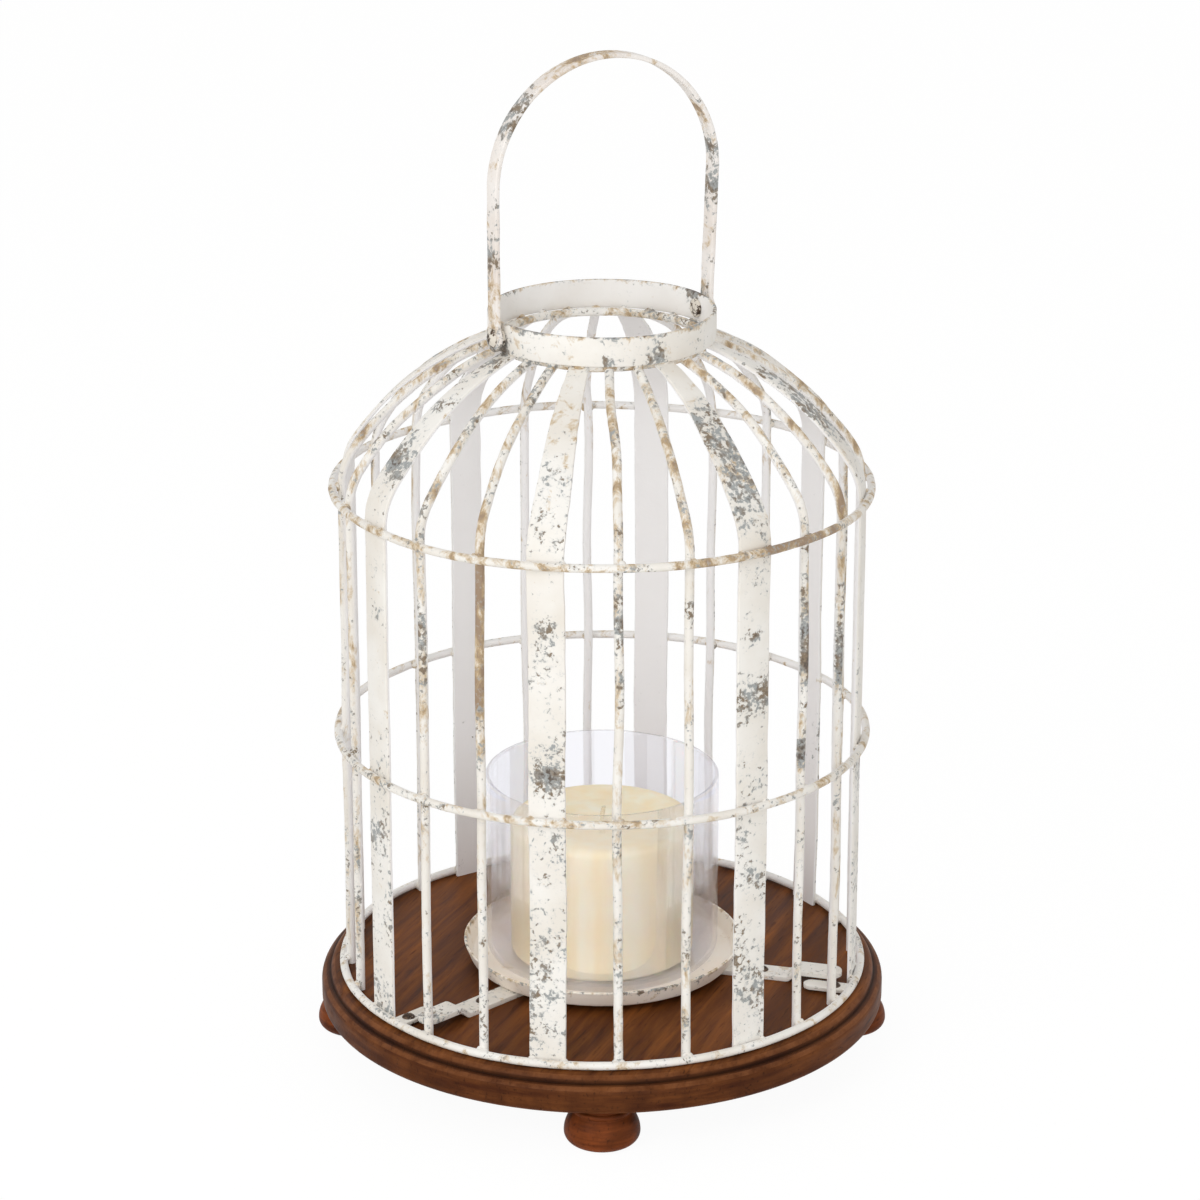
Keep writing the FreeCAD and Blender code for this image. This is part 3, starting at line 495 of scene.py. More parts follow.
# %% Wax
ivory_wax, tree, skin = new_finish("ivory_pillar_wax")
place = add(tree, "TexCoord", out="Object")
streak = add(tree, "Mapping", {"Vector": place, "Scale": (1.0, 1.0, 0.06)})
drawn = add(tree, "TexNoise", {"Vector": streak, "Scale": per_metre(8.0), "Detail": 4.0})
cloudy = add(tree, "TexNoise", {"Vector": place, "Scale": per_metre(22.0), "Detail": 4.0})
lines = add(tree, "MapRange", {"Value": drawn, "From Min": 0.36, "From Max": 0.66})
wax_skin = add(tree, "Mix", {0: lines, 6: colour("#FEEAC6"), 7: colour("#FFF4DC")}, **COLOURS)
cast = add(tree, "MapRange", {"Value": cloudy, "From Min": 0.4, "From Max": 0.7, "To Max": 0.5})
wax_tone = add(tree, "Mix", {0: cast, 6: wax_skin, 7: colour("#FCE3B9")}, **COLOURS)
tree.links.new(wax_tone, skin["Base Color"])
skin["Subsurface Weight"].default_value = 0.4
skin["Subsurface Radius"].default_value = (1.0, 0.65, 0.4)
skin["Subsurface Scale"].default_value = 0.012
gloss = add(tree, "MapRange", {"Value": cloudy, "From Min": 0.3, "From Max": 0.7,
                               "To Min": 0.42, "To Max": 0.56})
tree.links.new(gloss, skin["Roughness"])
wax_bump = add(tree, "Bump", {"Height": drawn, "Strength": 0.2, "Distance": 0.0004})
tree.links.new(wax_bump, skin["Normal"])

# %% Steel
def worn_steel(name, limit):
    """Blackened steel with flakes of the cage's paint left on it, where a noise is over the limit."""
    finish, tree, skin = new_finish(name)
    place = add(tree, "TexCoord", out="Object")
    worn = add(tree, "TexNoise", {"Vector": place, "Scale": per_metre(2.2), "Detail": 4.0, "Roughness": 0.65})
    share = add(tree, "MapRange", {"Value": worn, "From Min": 0.4, "From Max": 0.66})
    oxide = add(tree, "Mix", {0: share, 6: colour("#3A2F28"), 7: colour("#6C5A4B")}, **COLOURS)
    patch = add(tree, "TexNoise", {"Vector": place, "Scale": per_metre(4.5), "Detail": 5.0, "Roughness": 0.7})
    left = add(tree, "MapRange", {"Value": patch, "From Min": limit, "From Max": limit + 0.03})
    look = add(tree, "Mix", {0: left, 6: oxide, 7: colour("#DDD5C8")}, **COLOURS)
    tree.links.new(look, skin["Base Color"])
    metal = add(tree, "MapRange", {"Value": left, "To Min": 0.8, "To Max": 0.0})
    tree.links.new(metal, skin["Metallic"])
    gloss = add(tree, "MapRange", {"Value": worn, "From Min": 0.3, "From Max": 0.7,
                                   "To Min": 0.38, "To Max": 0.6})
    tree.links.new(gloss, skin["Roughness"])
    return finish


black_steel = worn_steel("blackened_steel", 0.62)
rivet_steel = worn_steel("blackened_steel_painted_over", 0.47)

# %% Cotton
wick_cotton, tree, skin = new_finish("cotton_braid")
place = add(tree, "TexCoord", out="Object")
fibre = add(tree, "TexNoise", {"Vector": place, "Scale": per_metre(0.5), "Detail": 3.0})
share = add(tree, "MapRange", {"Value": fibre, "From Min": 0.35, "From Max": 0.7})
thread = add(tree, "Mix", {0: share, 6: colour("#CDBE9F"), 7: colour("#EEE5D2")}, **COLOURS)
tree.links.new(thread, skin["Base Color"])
skin["Roughness"].default_value = 0.9
print("finishes:", len(bpy.data.materials))

# %% [markdown]
# ## The ribs: sixteen rods and eight straps
# Every rib follows one line: straight up from the board, a tight bend at the top hoop, then a wide curve to
# the collar. A curve object with a bevel would give a perfect tube, and perfect is what hand-bent wire is
# not: each rib here is swept with a slow stray of a few tenths of a millimetre, and the rods carry drips of
# paint that thicken them. The straps are sheared from flat bar, with soft edges, and taper over the dome.

# %% Rib line and its stray
def rib_line(ups=64, lows=12, highs=44):
    """The rib's line in its upright plane: r constant, then two arcs with one tangent where they meet,
    r = c + R cos p and z = h + R sin p. Gives r, z and the angle p of the outward normal."""
    low = np.linspace(0, BEND_ANGLE, lows)
    high = np.linspace(BEND_ANGLE, END_ANGLE, highs)[1:]
    up = np.linspace(BOARD_TOP, DOME_LEVEL, ups, endpoint=False)
    r = [np.full(ups, ROD_CIRCLE), low_centre + BEND_LOW * np.cos(low),
         high_centre + BEND_HIGH * np.cos(high)]
    z = [up, DOME_LEVEL + BEND_LOW * np.sin(low), high_level + BEND_HIGH * np.sin(high)]
    p = [np.zeros(ups), low, high]
    return [np.concatenate(part)[:, None] for part in (r, z, p)]


def stray(share, reach, most):
    """A slow small stray along a share from 0 to 1: reach times the mean of five sines, with whole numbers
    of waves up to most, so that it also closes round a ring."""
    waves = chance.randint(1, most + 1, 5)
    start = chance.uniform(0, 2 * np.pi, 5)
    return reach * np.sin(2 * np.pi * share[..., None] * waves + start).mean(-1)


def rod_skin(sides=14):
    """A wire along the rib line: n = w cos a, t = w sin a, with w the wire's radius and a few drips on it."""
    r, z, p = rib_line()
    share = np.linspace(0, 1, len(r))[:, None]
    a = np.linspace(0, 2 * np.pi, sides, endpoint=False)
    wire = ROD_WIRE * (1 + stray(share + a / 40, 0.05, 40))
    n = wire * np.cos(a) + stray(share, 0.7, 5)
    t = wire * np.sin(a) + stray(share, 1.1, 5)
    points = sheet_of(r + n * np.cos(p), t, z + n * np.sin(p))
    return points, np.broadcast_to(np.clip(0.2 - 1.6 * np.cos(a), 0, 1), points.shape[:2])


STRAP_END_HALF = 4.4
STRAP_END_CIRCLE = 47.0
STRAP_TAPER = 0.0584


def strap_skin():
    """A flat bar along the rib line: n and t are the bar's section. The half width grows in proportion to the
    radius from the strap's end at the collar, until it is the full strap."""
    r, z, p = rib_line()
    share = np.linspace(0, 1, len(r))[:, None]
    half = np.minimum(STRAP_HALF, STRAP_END_HALF + STRAP_TAPER * (r - STRAP_END_CIRCLE))
    thick, side, soft = bar_section(STRAP_THICK / 2, STRAP_SOFT)
    n = STRAP_OUT - STRAP_THICK / 2 - ROD_CIRCLE + thick + stray(share, 0.35, 6)
    edge = np.where(side > 0, stray(share, 0.25, 30), stray(share, 0.25, 30))
    t = side * (half - STRAP_SOFT + edge) + soft + stray(share, 0.8, 4)
    points = sheet_of(r + n * np.cos(p), t, z + n * np.sin(p))
    return points, np.broadcast_to(thick < 0, points.shape[:2]).astype(float)


print("rib line:", len(rib_line()[0]), "points")


# %% Rods and straps
rod_count = 0
for number in range(8):
    azimuth = CAGE_TURN + STRAP_STEP * number
    skin, inside = strap_skin()
    dress(f"strap_{number + 1}", turned_about(skin, azimuth), swept_faces(skin), "cage",
          strap_paint, [f"flat_rib_{number + 1}"], inside=inside)
    for step in (ROD_STEP, 2 * ROD_STEP):
        rod_count += 1
        skin, inside = rod_skin()
        dress(f"rod_{rod_count}", turned_about(skin, azimuth + step), swept_faces(skin), "cage",
              rod_paint, [f"rod_rib_{rod_count}"], inside=inside)
print("ribs:", rod_count, "rods and 8 straps")

# %% [markdown]
# ## Hoops and their welds
# Three hoops of the same wire go round outside the ribs, and a small ring closes the dome under the collar.
# They are rolled, so they are round within a few tenths of a millimetre. Where a rib crosses a hoop there is
# a small bead of weld under the paint; all of them are one mesh, because each is small and none moves on its
# own.

# %% Hoops
def hoop_skin(circle, level, wire, steps=288, sides=14):
    """A ring of wire: ((R + w cos b) cos a, (R + w cos b) sin a, h + w sin b), R and h straying a little."""
    share = np.linspace(0, 1, steps, endpoint=False)[:, None]
    a = 2 * np.pi * share
    b = np.linspace(0, 2 * np.pi, sides, endpoint=False)
    thick = wire * (1 + stray(share, 0.05, 60))
    reach = circle + stray(share, 0.25, 9) + thick * np.cos(b)
    height = level + stray(share, 0.5, 7) + thick * np.sin(b)
    points = np.stack([reach * np.cos(a), reach * np.sin(a), height], -1)
    return points, np.broadcast_to(0.7 * np.clip(0.1 - 1.6 * np.cos(b), 0, 1), points.shape[:2])


RING_END_ANGLE = END_ANGLE + math.pi / 2
RING_REACH = HOOP_WIRE - WELD_BITE
collar_ring_circle = RIB_END + RING_REACH * math.cos(RING_END_ANGLE)
collar_ring_level = high_level + BEND_HIGH * math.sin(END_ANGLE) + RING_REACH * math.sin(RING_END_ANGLE)
HOOPS = [
    ("bottom_ring", HOOP_CIRCLE, RING_LEVEL),
    ("middle_hoop", HOOP_CIRCLE, MIDDLE_LEVEL),
    ("top_hoop", HOOP_CIRCLE, DOME_LEVEL),
    ("collar_ring", collar_ring_circle, collar_ring_level),
]
for node, circle, level in HOOPS:
    skin, inside = hoop_skin(circle, level, HOOP_WIRE)
    dress(f"{node}_wire", skin, swept_faces(skin, True), "cage", hoop_paint, [node],
          inside=inside if circle == HOOP_CIRCLE else None)


# %% Weld beads
def together(shells):
    """Several shells as one: their points in a row, and their faces counted on from the shell before."""
    points = [np.reshape(shell, (-1, 3)) for shell, faces in shells]
    starts = np.cumsum([0] + [len(part) for part in points])
    faces = [[index + start for index in face] for (shell, own), start in zip(shells, starts) for face in own]
    return np.concatenate(points), faces


BEAD_ROWS = 7
BEAD_COLUMNS = 10
HOOP_BEAD = np.array([1.7, 1.9, 2.1])
RING_BEAD = np.array([1.9, 2.4, 1.8])
BEAD_CIRCLE = 126.4
RING_BEAD_CIRCLE = 52.0
STRAP_BEAD_SIDE = 7.6
ROD_BEAD_SIDE = 1.3


def bead(size):
    """An ellipsoid lump: (A sin u cos v, B sin u sin v, C cos u), with size (A, B, C)."""
    u = np.linspace(0, np.pi, BEAD_ROWS)[:, None]
    v = np.linspace(0, 2 * np.pi, BEAD_COLUMNS, endpoint=False)
    lump = sheet_of(np.sin(u) * np.cos(v), np.sin(u) * np.sin(v), np.cos(u))
    return lump * size


bead_faces = grid_faces(bead(HOOP_BEAD))
beads = []
for number in range(24):
    azimuth = CAGE_TURN + ROD_STEP * number
    reach = STRAP_BEAD_SIDE if number % 3 == 0 else ROD_BEAD_SIDE
    for level in (RING_LEVEL, MIDDLE_LEVEL, DOME_LEVEL):
        for side in (-reach, reach):
            lump = bead(HOOP_BEAD * chance.uniform(0.8, 1.2, 3))
            lump = lump + np.array([BEAD_CIRCLE, side, level + chance.uniform(-0.6, 0.6)])
            beads.append((turned_about(lump, azimuth), bead_faces))
    lump = bead(RING_BEAD * chance.uniform(0.85, 1.25, 3))
    lump = lump + np.array([RING_BEAD_CIRCLE, 0.0, collar_ring_level + 0.6])
    beads.append((turned_about(lump, azimuth), bead_faces))
points, faces = together(beads)
dress("weld_beads", points, faces, "cage", hoop_paint, crease=180.0)
print("weld beads:", len(beads))

# %% [markdown]
# ## The collar, the bail and its rivets
# The collar is a strip of sheet rolled to a band, open at the top so that the heat can leave. Its rims are
# cut edges with the burr rubbed off. The bail is a flat bar bent to an arch and ends in two eyes, which are
# rings here, because the rivet turns in a real hole.

# %% Collar
COLLAR_HALF = 7.0
COLLAR_INNER = 52.0
COLLAR_OUTER = 54.0
COLLAR_SIDES = 192


def loop_of(low, high, inner, outer, soft, steps=4):
    """A closed profile: the rectangle inner to outer by low to high with quarter-circle corners."""
    arcs = corner_arcs(steps)
    r = np.repeat([outer - soft, inner + soft, inner + soft, outer - soft], steps) + soft * np.cos(arcs)
    z = np.repeat([high - soft, high - soft, low + soft, low + soft], steps) + soft * np.sin(arcs)
    return np.stack([r, z], -1)


band = lathe(loop_of(PIVOT_LEVEL - COLLAR_HALF, PIVOT_LEVEL + COLLAR_HALF, COLLAR_INNER, COLLAR_OUTER, 0.7),
             COLLAR_SIDES)
share = np.linspace(0, 1, COLLAR_SIDES, endpoint=False)
band[..., :2] *= (1 + stray(share, 0.006, 5))[None, :, None]
band[..., 2] += stray(share, 0.35, 6)
inner = 0.4 * (np.hypot(band[..., 0], band[..., 1]) < COLLAR_INNER + 0.6)
dress("collar_band", band, swept_faces(band, True), "cage", collar_paint, ["collar"],
      inside=inner)


# %% Bail
BAIL_INNER = 56.32
BAIL_OUTER = 58.72
BAIL_HALF = 4.5
BAIL_HALF_THICK = 1.15
BAIL_SOFT = 0.6
LEG_LOW = PIVOT_LEVEL + 4.0
LEG_HIGH = PIVOT_LEVEL + 69.7
FAR_LEAN = 2.5


def bail_bar(legs=40, arches=97):
    """The arch: two legs and a half circle, r = R cos a and z = h + R sin a between them, in the plane of the
    rivets, swept with the bar's section: n out of the arch and t across it. The far leg leans out a little,
    as a bar bent by hand does."""
    middle = (BAIL_INNER + BAIL_OUTER) / 2
    leg = np.linspace(LEG_LOW, LEG_HIGH, legs, endpoint=False)
    arch = np.linspace(0, np.pi, arches)
    lean = FAR_LEAN * np.linspace(0, 1, legs, endpoint=False)
    x = np.concatenate([np.full(legs, middle), middle * np.cos(arch) - FAR_LEAN / 2 * (1 - np.cos(arch)),
                        -middle - lean[::-1]])[:, None]
    z = np.concatenate([leg, LEG_HIGH + middle * np.sin(arch), leg[::-1]])[:, None]
    p = np.concatenate([np.zeros(legs), arch, np.full(legs, np.pi)])[:, None]
    share = np.linspace(0, 1, len(x))[:, None]
    thick, side, soft = bar_section(BAIL_HALF_THICK, BAIL_SOFT)
    n = thick + stray(share, 0.1, 9)
    t = side * (BAIL_HALF - BAIL_SOFT + stray(share, 0.3, 24)) + soft
    return sheet_of(x + n * np.cos(p), t, z + n * np.sin(p))


def across(points):
    """A turned piece laid on its side: its axis goes to the line of the rivets."""
    x, y, z = np.moveaxis(points, -1, 0)
    return np.stack([z, x, y + PIVOT_LEVEL], -1)


arch = bail_bar()
shells = [(turned_about(arch, BAIL_TURN), swept_faces(arch))]
EYE_HOLE = 2.6
EYE_CIRCLE = 6.5
eye = across(lathe(loop_of(BAIL_INNER, BAIL_OUTER, EYE_HOLE, EYE_CIRCLE, 0.5), 64))
for turn in (BAIL_TURN, BAIL_TURN + 180.0):
    shells.append((turned_about(eye, turn), swept_faces(eye, True)))
points, faces = together(shells)
dress("bail_arch", points, faces, "bail", bail_paint, ["bail"])

# %% Rivets
HEAD = 4.5
DOME = 2.0
SHANK = 2.48
INNER_END = 50.31
INNER_SEAT = 51.81
NECK_END = 56.2
HEAD_SEAT = 58.84
dome_reach = HEAD * (1 - np.linspace(0, 1, 8)[1:])
dome_curve = (HEAD ** 2 + DOME ** 2) / (2 * DOME)
dome_rise = np.sqrt(dome_curve ** 2 - dome_reach ** 2) - dome_curve + DOME
dome_line = np.stack([dome_reach, HEAD_SEAT + dome_rise], -1)
shank_line = rounded([
    (0, INNER_END, 0), (HEAD, INNER_END, 0.9), (HEAD, INNER_SEAT, 0.2), (SHANK, INNER_SEAT, 0),
    (SHANK, COLLAR_OUTER, 0), (HEAD, COLLAR_OUTER, 0.2), (HEAD, NECK_END, 0.4), (SHANK, NECK_END, 0),
    (SHANK, HEAD_SEAT, 0), (HEAD, HEAD_SEAT, 0),
])
rivet = across(lathe(np.concatenate([shank_line, dome_line]), 48))
rivet_faces = grid_faces(rivet)
both_sides = (BAIL_TURN, BAIL_TURN + 180.0)
points, faces = together([(turned_about(rivet, turn), rivet_faces) for turn in both_sides])
dress("rivets", points, faces, "cage", rivet_steel, ["pivot_rivets"])
print("bail top at", round(float(arch[..., 2].max()), 1), "mm")

# %% [markdown]
# ## The turned base and its feet
# The board was turned on a lathe: a lower tier with a full rounded edge, a narrow ledge, and an upper tier
# with its own round. The feet are squat buns with a bead and a neck, glued on dowels. A lathe is exactly a
# profile that is spun, so that is how they are made here.

# %% Board
edge = [(0, BOARD_LOW, 0), (BOARD_CIRCLE, BOARD_LOW, 3), (BOARD_CIRCLE, TIER_LEVEL, 3.8),
        (TIER_CIRCLE, TIER_LEVEL, 0.3), (TIER_CIRCLE, BOARD_TOP, 3.6), (0, BOARD_TOP, 0)]
board = lathe(rounded(edge, 9), 256)
dress("board", board, grid_faces(board), "base", board_wood, ["base_board"], 50.0)


# %% Feet
def arc_of(centre, level, radius, start, end, steps=14):
    """Part of a circle in the profile: (c + R cos a, h + R sin a) from start to end in degrees."""
    a = np.radians(np.linspace(start, end, steps))
    return np.stack([centre + radius * np.cos(a), level + radius * np.sin(a)], -1)


FOOT_FLAT = 12.9
BULGE_LEVEL = 5.2
BEAD_LEVEL = 16.8
NECK = 12.5
foot_line = np.concatenate([
    [[0, 0], [FOOT_FLAT, 0]],
    arc_of(12.97, BULGE_LEVEL, BULGE_LEVEL, -88.0, 0.0),
    arc_of(4.12, BULGE_LEVEL, 14.05, 4.0, 47.0),
    arc_of(12.7, BEAD_LEVEL, 1.5, -50.0, 53.0, 10),
    [[NECK, 18.1], [NECK, BOARD_LOW], [0, BOARD_LOW]],
])
foot = lathe(foot_line, 72)
for side in ("front", "right", "back", "left"):
    low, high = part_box(f"foot_{side}")
    middle = np.array([(low[0] + high[0]) / 2, (low[1] + high[1]) / 2, 0]) * 1000.0
    dress(f"bun_{side}", foot + middle, grid_faces(foot), "base", foot_wood,
          [f"foot_{side}"])
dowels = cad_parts["foot_dowels"].data
dowels.materials.clear()
dowels.materials.append(foot_wood)

# %% [markdown]
# ## The tray, its arms, the lugs and the screws
# The tray is a shallow pan pressed from thin sheet. Three straps carry it, and each steps up at its outer
# end. Three lugs on the bottom ring take the screws that hold the cage down. Each screw head is a dome with a
# slot, drawn as a sheet of lines that run along the slot, so that its edges stay straight.

# %% Tray
PAN_UNDER = 65.25
PAN_FLOOR = 64.43
RIM_OUTER = 69.0
RIM_INNER = 67.6
RIM_LEVEL = TRAY_LOW + 9.0
LIP_DEEP = 6.5
PAN_SIDES = 192
pan_line = rounded([(0, TRAY_LOW, 0), (PAN_UNDER, TRAY_LOW, 3), (RIM_OUTER, RIM_LEVEL, 0.6),
                    (RIM_INNER, RIM_LEVEL, 0.6), (PAN_FLOOR, TRAY_FLOOR, 1.6), (0, TRAY_FLOOR, 0)], 8)
pan = lathe(pan_line, PAN_SIDES)
share = np.linspace(0, 1, PAN_SIDES, endpoint=False)
lip = np.clip((pan[..., 2] - RIM_LEVEL + LIP_DEEP) / LIP_DEEP, 0, 1)
pan[..., 2] += lip * stray(share, 0.4, 5)
dress("tray_pan", pan, grid_faces(pan), "base", tray_paint_with_painted_light, ["candle_tray"])


# %% Arms and lugs
def flat_strip(r, z, half, thick, soft):
    """A flat bar along a line in its upright plane: the section's n goes along the line's normal, and t
    goes across."""
    slope = np.gradient(z) / np.gradient(r)
    lean = np.arctan(slope)[:, None]
    n, side, round_off = bar_section(thick / 2, soft)
    t = side * (half[:, None] - soft) + round_off
    return sheet_of(r[:, None] - n * np.sin(lean), t, z[:, None] + n * np.cos(lean))


ARM_STEP = 120.0
ARM_START = 42.5
ARM_END = 116.0
ARM_HALF = 6.0
ARM_THICK = 2.5
STEP_START = 95.0
STEP_RUN = 6.0
STEP_RISE = 4.0
LUG_MIDDLE = 109.5
LUG_HALF = 4.2
LUG_OUT = 126.9
LUG_SIDE = -10.6
LUG_THICK = 2.0
PLATE_SOFT = 0.3
# Round ends stop just short of their tip, where the width would be nothing.
TIP_GAP = 0.01
quarter = np.linspace(0, np.pi / 2, 16)
r = np.concatenate([np.linspace(ARM_START, 94.0, 24), np.linspace(94.5, 101.5, 22),
                    np.linspace(102.0, ARM_END, 8),
                    ARM_END + (ARM_HALF - TIP_GAP) * np.sin(np.linspace(0.1, np.pi / 2, 16))])
step = np.clip((r - STEP_START) / STEP_RUN, 0, 1)
arm_level = BOARD_TOP + ARM_THICK / 2 + STEP_RISE * step ** 2 * (3 - 2 * step)
arm_round = np.sqrt(np.maximum(ARM_HALF ** 2 - (r - ARM_END) ** 2, 0.1))
arm = flat_strip(r, arm_level, np.where(r > ARM_END, arm_round, ARM_HALF), ARM_THICK, PLATE_SOFT)
r = np.concatenate([LUG_MIDDLE - (LUG_HALF - TIP_GAP) * np.cos(quarter),
                    np.linspace(LUG_MIDDLE + 1.0, LUG_OUT, 10)])
lug_half = np.sqrt(np.maximum(LUG_HALF ** 2 - np.minimum(r - LUG_MIDDLE, 0) ** 2, 0.1))
lug = flat_strip(r, np.full(len(r), RING_LEVEL), lug_half, LUG_THICK, PLATE_SOFT)
lug = lug + np.array([0.0, LUG_SIDE, 0.0])
plates = [("arm", arm, "base", "tray_arm"), ("lug", lug, "cage", "ring_lug")]
for number in range(3):
    for name, plate, body, node in plates:
        dress(f"{name}_{number + 1}", turned_about(plate, ARM_TURN + ARM_STEP * number), swept_faces(plate),
              body, arm_paint, [f"{node}_{number + 1}"])


# %% Screws
def screw_head(reach=3.2, dome=1.9, slot=0.45, floor=0.9):
    """A slotted dome: z = sqrt(C^2 - x^2 - y^2) - (C - dome), cut flat at floor where |y| is within slot."""
    curve = (reach ** 2 + dome ** 2) / (2 * dome)
    half = np.concatenate([[0, slot], np.linspace(slot + 0.05, reach, 12)])
    y = np.concatenate([-half[:0:-1], half])[:, None]
    x = np.linspace(-1, 1, 25) * np.sqrt(np.maximum(reach ** 2 - y ** 2, 0))
    z = np.sqrt(np.maximum(curve ** 2 - x ** 2 - y ** 2, 0)) - (curve - dome)
    z = np.where(np.abs(y) <= slot, np.minimum(z, floor), z)
    top = sheet_of(x, y, np.maximum(z, 0))
    base = top * np.array([1, 1, 0])
    index = np.arange(top.shape[0] * top.shape[1]).reshape(top.shape[:2])
    quads = np.stack([index[:-1, :-1], index[:-1, 1:], index[1:, 1:], index[1:, :-1]], -1).reshape(-1, 4)
    return together([(top, quads.tolist()), (base, quads.tolist())])


CORE = 1.48
THREAD_DEEP = 0.2
THREAD_PITCH = 1.1
THREAD_LOW = -8.0
SCREW_TIP = -11.0
ARM_SCREW_CIRCLE = 81.98
LUG_SCREW_CIRCLE = 120.5
level = np.linspace(THREAD_LOW, 0.0, 65)
thread = CORE + THREAD_DEEP * np.abs((level / THREAD_PITCH) % 1 - 0.5) * 2
shank = lathe(np.concatenate([[[0, SCREW_TIP]], np.stack([thread, level], -1), [[0, 0.0]]]), 20)
shank_faces = grid_faces(shank)
head_points, head_faces = screw_head()


def screws_at(circle, side, level, name, body, node):
    """Three screws, each with its slot turned another way, as one piece."""
    shells = []
    for number in range(3):
        spin = chance.uniform(0, 180)
        place = turned_about(np.array([circle, side, level]), ARM_TURN + ARM_STEP * number)
        shells.append((turned_about(head_points, spin) + place, head_faces))
        shells.append((turned_about(shank, spin) + place, shank_faces))
    points, faces = together(shells)
    dress(name, points, faces, body, black_steel, [node])


screws_at(ARM_SCREW_CIRCLE, 0.0, TRAY_LOW, "tray_screws", "base", "arm_screws")
screws_at(LUG_SCREW_CIRCLE, LUG_SIDE, RING_LEVEL + LUG_THICK / 2, "cage_screws", "cage", "lug_screws")

# %% [markdown]
# ## Glass, candle and wick
# The cup is a blown glass cylinder with a fire-polished lip. Its wall has thickness and bends what is seen
# through it. The candle is poured wax with a soft shoulder and a shallow dish round the wick. Its side is not
# quite true: it strays inwards by a fraction of a millimetre, as wax does when it sets.

# %% Glass cup
CUP_OUTER = 57.5
CUP_INNER = 55.0
cup_low = TRAY_FLOOR + 0.05
cup_floor = TRAY_FLOOR + 2.5
cup_top = TRAY_FLOOR + 95.3
cup_line = rounded([(0, cup_low, 0), (CUP_OUTER, cup_low, 8), (CUP_OUTER, cup_top, 1.2),
                    (CUP_INNER, cup_top, 1.2), (CUP_INNER, cup_floor, 5.5), (0, cup_floor, 0)], 12)
cup = lathe(cup_line, 192)
dress("glass_tumbler", cup, grid_faces(cup), "glass", cup_glass, ["glass_cup"], 60.0)

# %% Candle
WAX_CIRCLE = 45.5
WAX_HIGH = 68.9
WAX_SIDES = 160
DISH_DEEP = 1.6
wax_low = cup_floor + 0.1
wax_top = cup_floor + WAX_HIGH
dish = wax_top - DISH_DEEP
low_part = rounded([(0, wax_low, 0), (WAX_CIRCLE, wax_low, 2), (WAX_CIRCLE, wax_low + 8.0, 0)])
side_part = np.stack([np.full(40, WAX_CIRCLE), np.linspace(wax_low + 9.0, wax_top - 9.3, 40)], -1)
high_part = rounded([(WAX_CIRCLE, wax_top - 8.3, 0), (WAX_CIRCLE, wax_top, 4), (39.5, wax_top - 0.1, 4),
                     (27.0, dish, 9), (0, dish, 0)], 10)
wax = lathe(np.concatenate([low_part, side_part, high_part]), WAX_SIDES)
share = np.linspace(0, 1, WAX_SIDES, endpoint=False)
rise = (wax[:, :1, 2] - wax_low) / (WAX_HIGH + 0.1)
shrink = 0.25 + stray(share + 0.3 * rise, 0.25, 9) + stray(rise + 0.05 * share, 0.15, 6)
wax[..., :2] *= (1 - np.clip(shrink, 0, 1) / WAX_CIRCLE)[..., None]
dress("candle_wax", wax, grid_faces(wax), "candle", ivory_wax, ["candle"])


# %% Wick
def braid(low, high, radius, rows=60, sides=24):
    """A three-strand twist: R (0.86 + 0.14 cos 3(a - k z)) round a line that leans a little at its top."""
    z = np.linspace(low, high, rows)[:, None]
    a = np.linspace(0, 2 * np.pi, sides, endpoint=False)
    reach = radius * (0.86 + 0.14 * np.cos(3 * (a - 1.6 * z)))
    lean = 0.9 * np.clip((z - low - 9.7) / 7.0, 0, 1) ** 2
    return sheet_of(reach * np.cos(a) + lean, reach * np.sin(a), z)


WICK_SUNK = 11.3
WICK_STANDS = 5.3
WICK_RADIUS = 1.2
cord = braid(wax_top - WICK_SUNK, wax_top + WICK_STANDS, WICK_RADIUS)
dress("wick_braid", cord, swept_faces(cord), "candle", wick_cotton, ["wick"])

# %% [markdown]
# ## Floor, light and camera
# A pale floor stands in for the paper sweep of a product photograph: to the camera it is nearly white of its
# own, with enough matt paint left in it to keep the lantern's shadow. A broad sky and two large soft lamps, a
# stronger one from the upper left and a weaker one low in front, light the paint without burning it out. The
# camera looks down by 19 degrees from about two metres away, with a long lens, as the photograph was taken.

# %% Floor
SHEET_HALF = 6.0
SEEN_SHARE = 0.93
SKY_DIM = 0.70


def seen_as_is(tree):
    """1 for rays that show a thing as it is: from the camera, off a shine or through the glass; else 0."""
    camera_ray = add(tree, "LightPath", out="Is Camera Ray")
    rays = camera_ray.node.outputs
    shine_ray = add(tree, "Math", {0: camera_ray, 1: rays["Is Glossy Ray"]}, operation="MAXIMUM")
    return add(tree, "Math", {0: shine_ray, 1: rays["Is Transmission Ray"]}, operation="MAXIMUM")


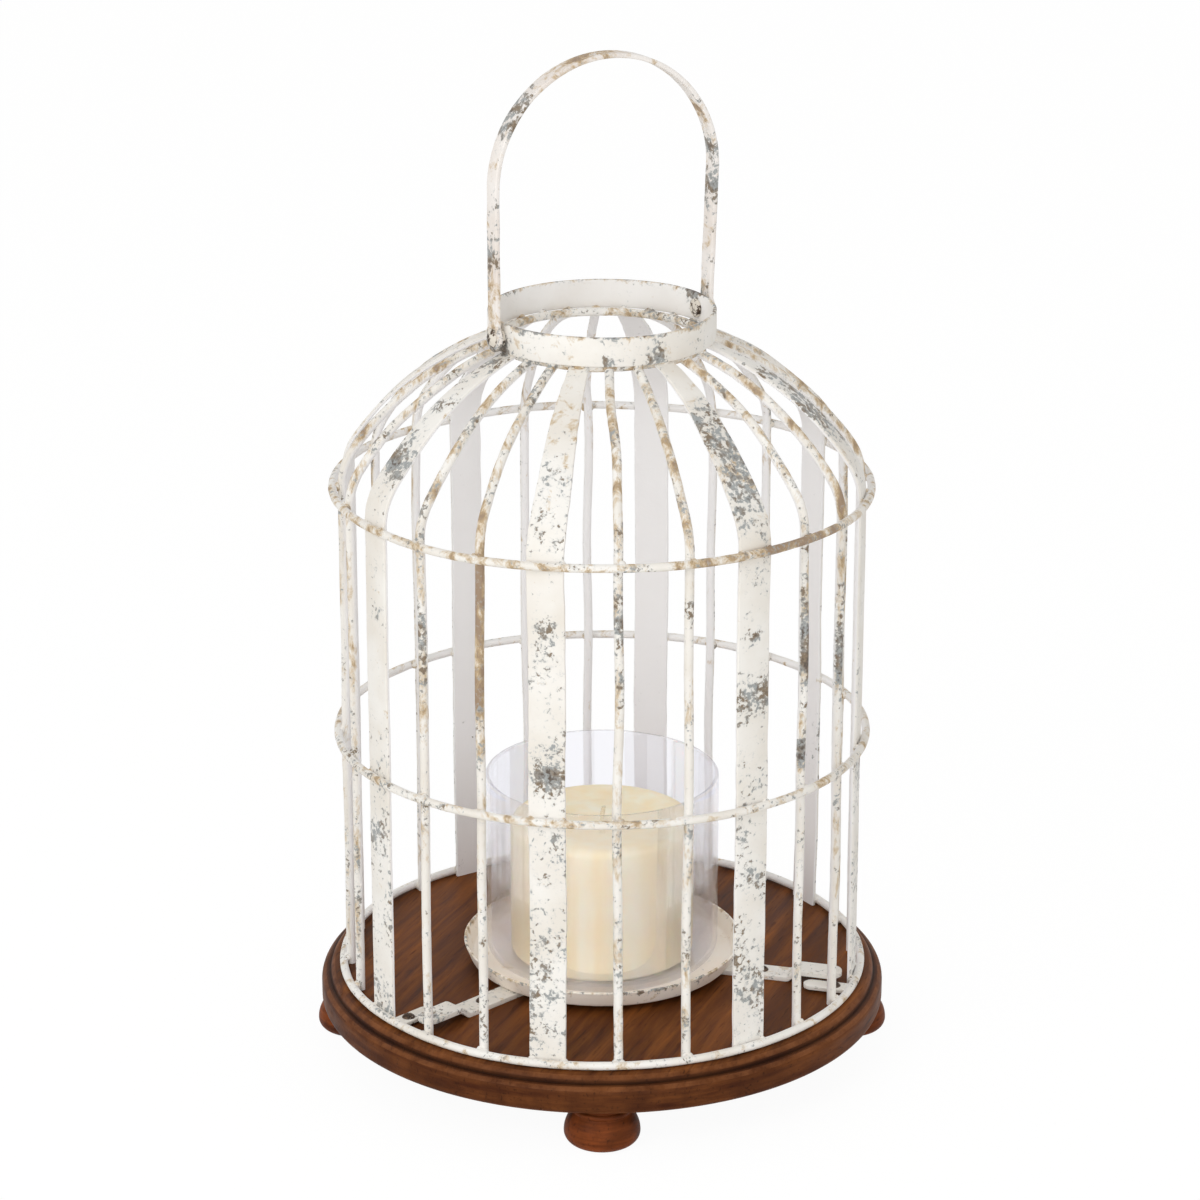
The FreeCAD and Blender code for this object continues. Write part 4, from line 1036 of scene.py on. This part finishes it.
corner = np.array([[-1, -1, 0], [1, -1, 0], [1, 1, 0], [-1, 1, 0]], float) * SHEET_HALF
floor_mesh = bpy.data.meshes.new("floor")
floor_mesh.from_pydata(corner.tolist(), [], [[0, 1, 2, 3]])
floor = bpy.data.objects.new("floor", floor_mesh)
bpy.context.scene.collection.objects.link(floor)
paper, tree, skin = new_finish("white_paper_sweep")
skin["Base Color"].default_value = colour("#F2F1EF")
skin["Roughness"].default_value = 0.9
glow = add(tree, "Emission", {"Color": (1, 1, 1, 1), "Strength": 1.02})
share = add(tree, "Math", {0: seen_as_is(tree), 1: SEEN_SHARE}, operation="MULTIPLY")
sweep = add(tree, "MixShader", {0: share, 1: skin["Roughness"].node.outputs[0], 2: glow})
tree.links.new(sweep, tree.get_output_node("ALL").inputs["Surface"])
floor_mesh.materials.append(paper)
print("floor sheet is", 2 * SHEET_HALF, "m wide")

# %% Light
world = bpy.data.worlds.new("studio")
bpy.context.scene.world = world
world.use_nodes = True
sky = world.node_tree
sky.nodes.clear()
strength = add(sky, "MapRange", {"Value": seen_as_is(sky), "To Min": SKY_DIM, "To Max": 1.0})
lit = add(sky, "Background", {"Color": (1, 1, 1, 1), "Strength": strength})
add(sky, "OutputWorld", {"Surface": lit})


def soft_lamp(name, place, aim, size, watts):
    """A square soft box that looks at a point."""
    lamp = bpy.data.lights.new(name, "AREA")
    lamp.shape = "SQUARE"
    lamp.size = size
    lamp.energy = watts
    holder = bpy.data.objects.new(name, lamp)
    holder.location = place
    back = np.array(place) - np.array(aim)
    turn = math.atan2(back[0], -back[1])
    tip = math.atan2(math.hypot(back[0], back[1]), back[2])
    holder.rotation_euler = (tip, 0.0, turn)
    bpy.context.scene.collection.objects.link(holder)


soft_lamp("key_box", (-1.35, -1.8, 1.6), (0.0, 0.0, 0.2), 1.2, 18.0)
soft_lamp("fill_box", (0.4, -2.2, 0.5), (0.0, 0.0, 0.15), 1.2, 9.0)
print("lamps:", len(bpy.data.lights))

# %% Camera
CAMERA_PLACE = (-0.001, -1.77974, 0.85307)
CAMERA_PITCH = 19.40
CAMERA_LENS = 117.057
lens = bpy.data.cameras.new("camera")
lens.lens = CAMERA_LENS
lens.sensor_width = 36.0
lens.dof.use_dof = False
camera = bpy.data.objects.new("camera", lens)
camera.location = CAMERA_PLACE
camera.rotation_euler = (math.radians(90.0 - CAMERA_PITCH), 0.0, 0.0)
bpy.context.scene.collection.objects.link(camera)
bpy.context.scene.camera = camera
bpy.context.scene.view_settings.view_transform = "Standard"
print("camera looks down by", CAMERA_PITCH, "degrees, with a lens of", round(lens.lens, 1), "mm")
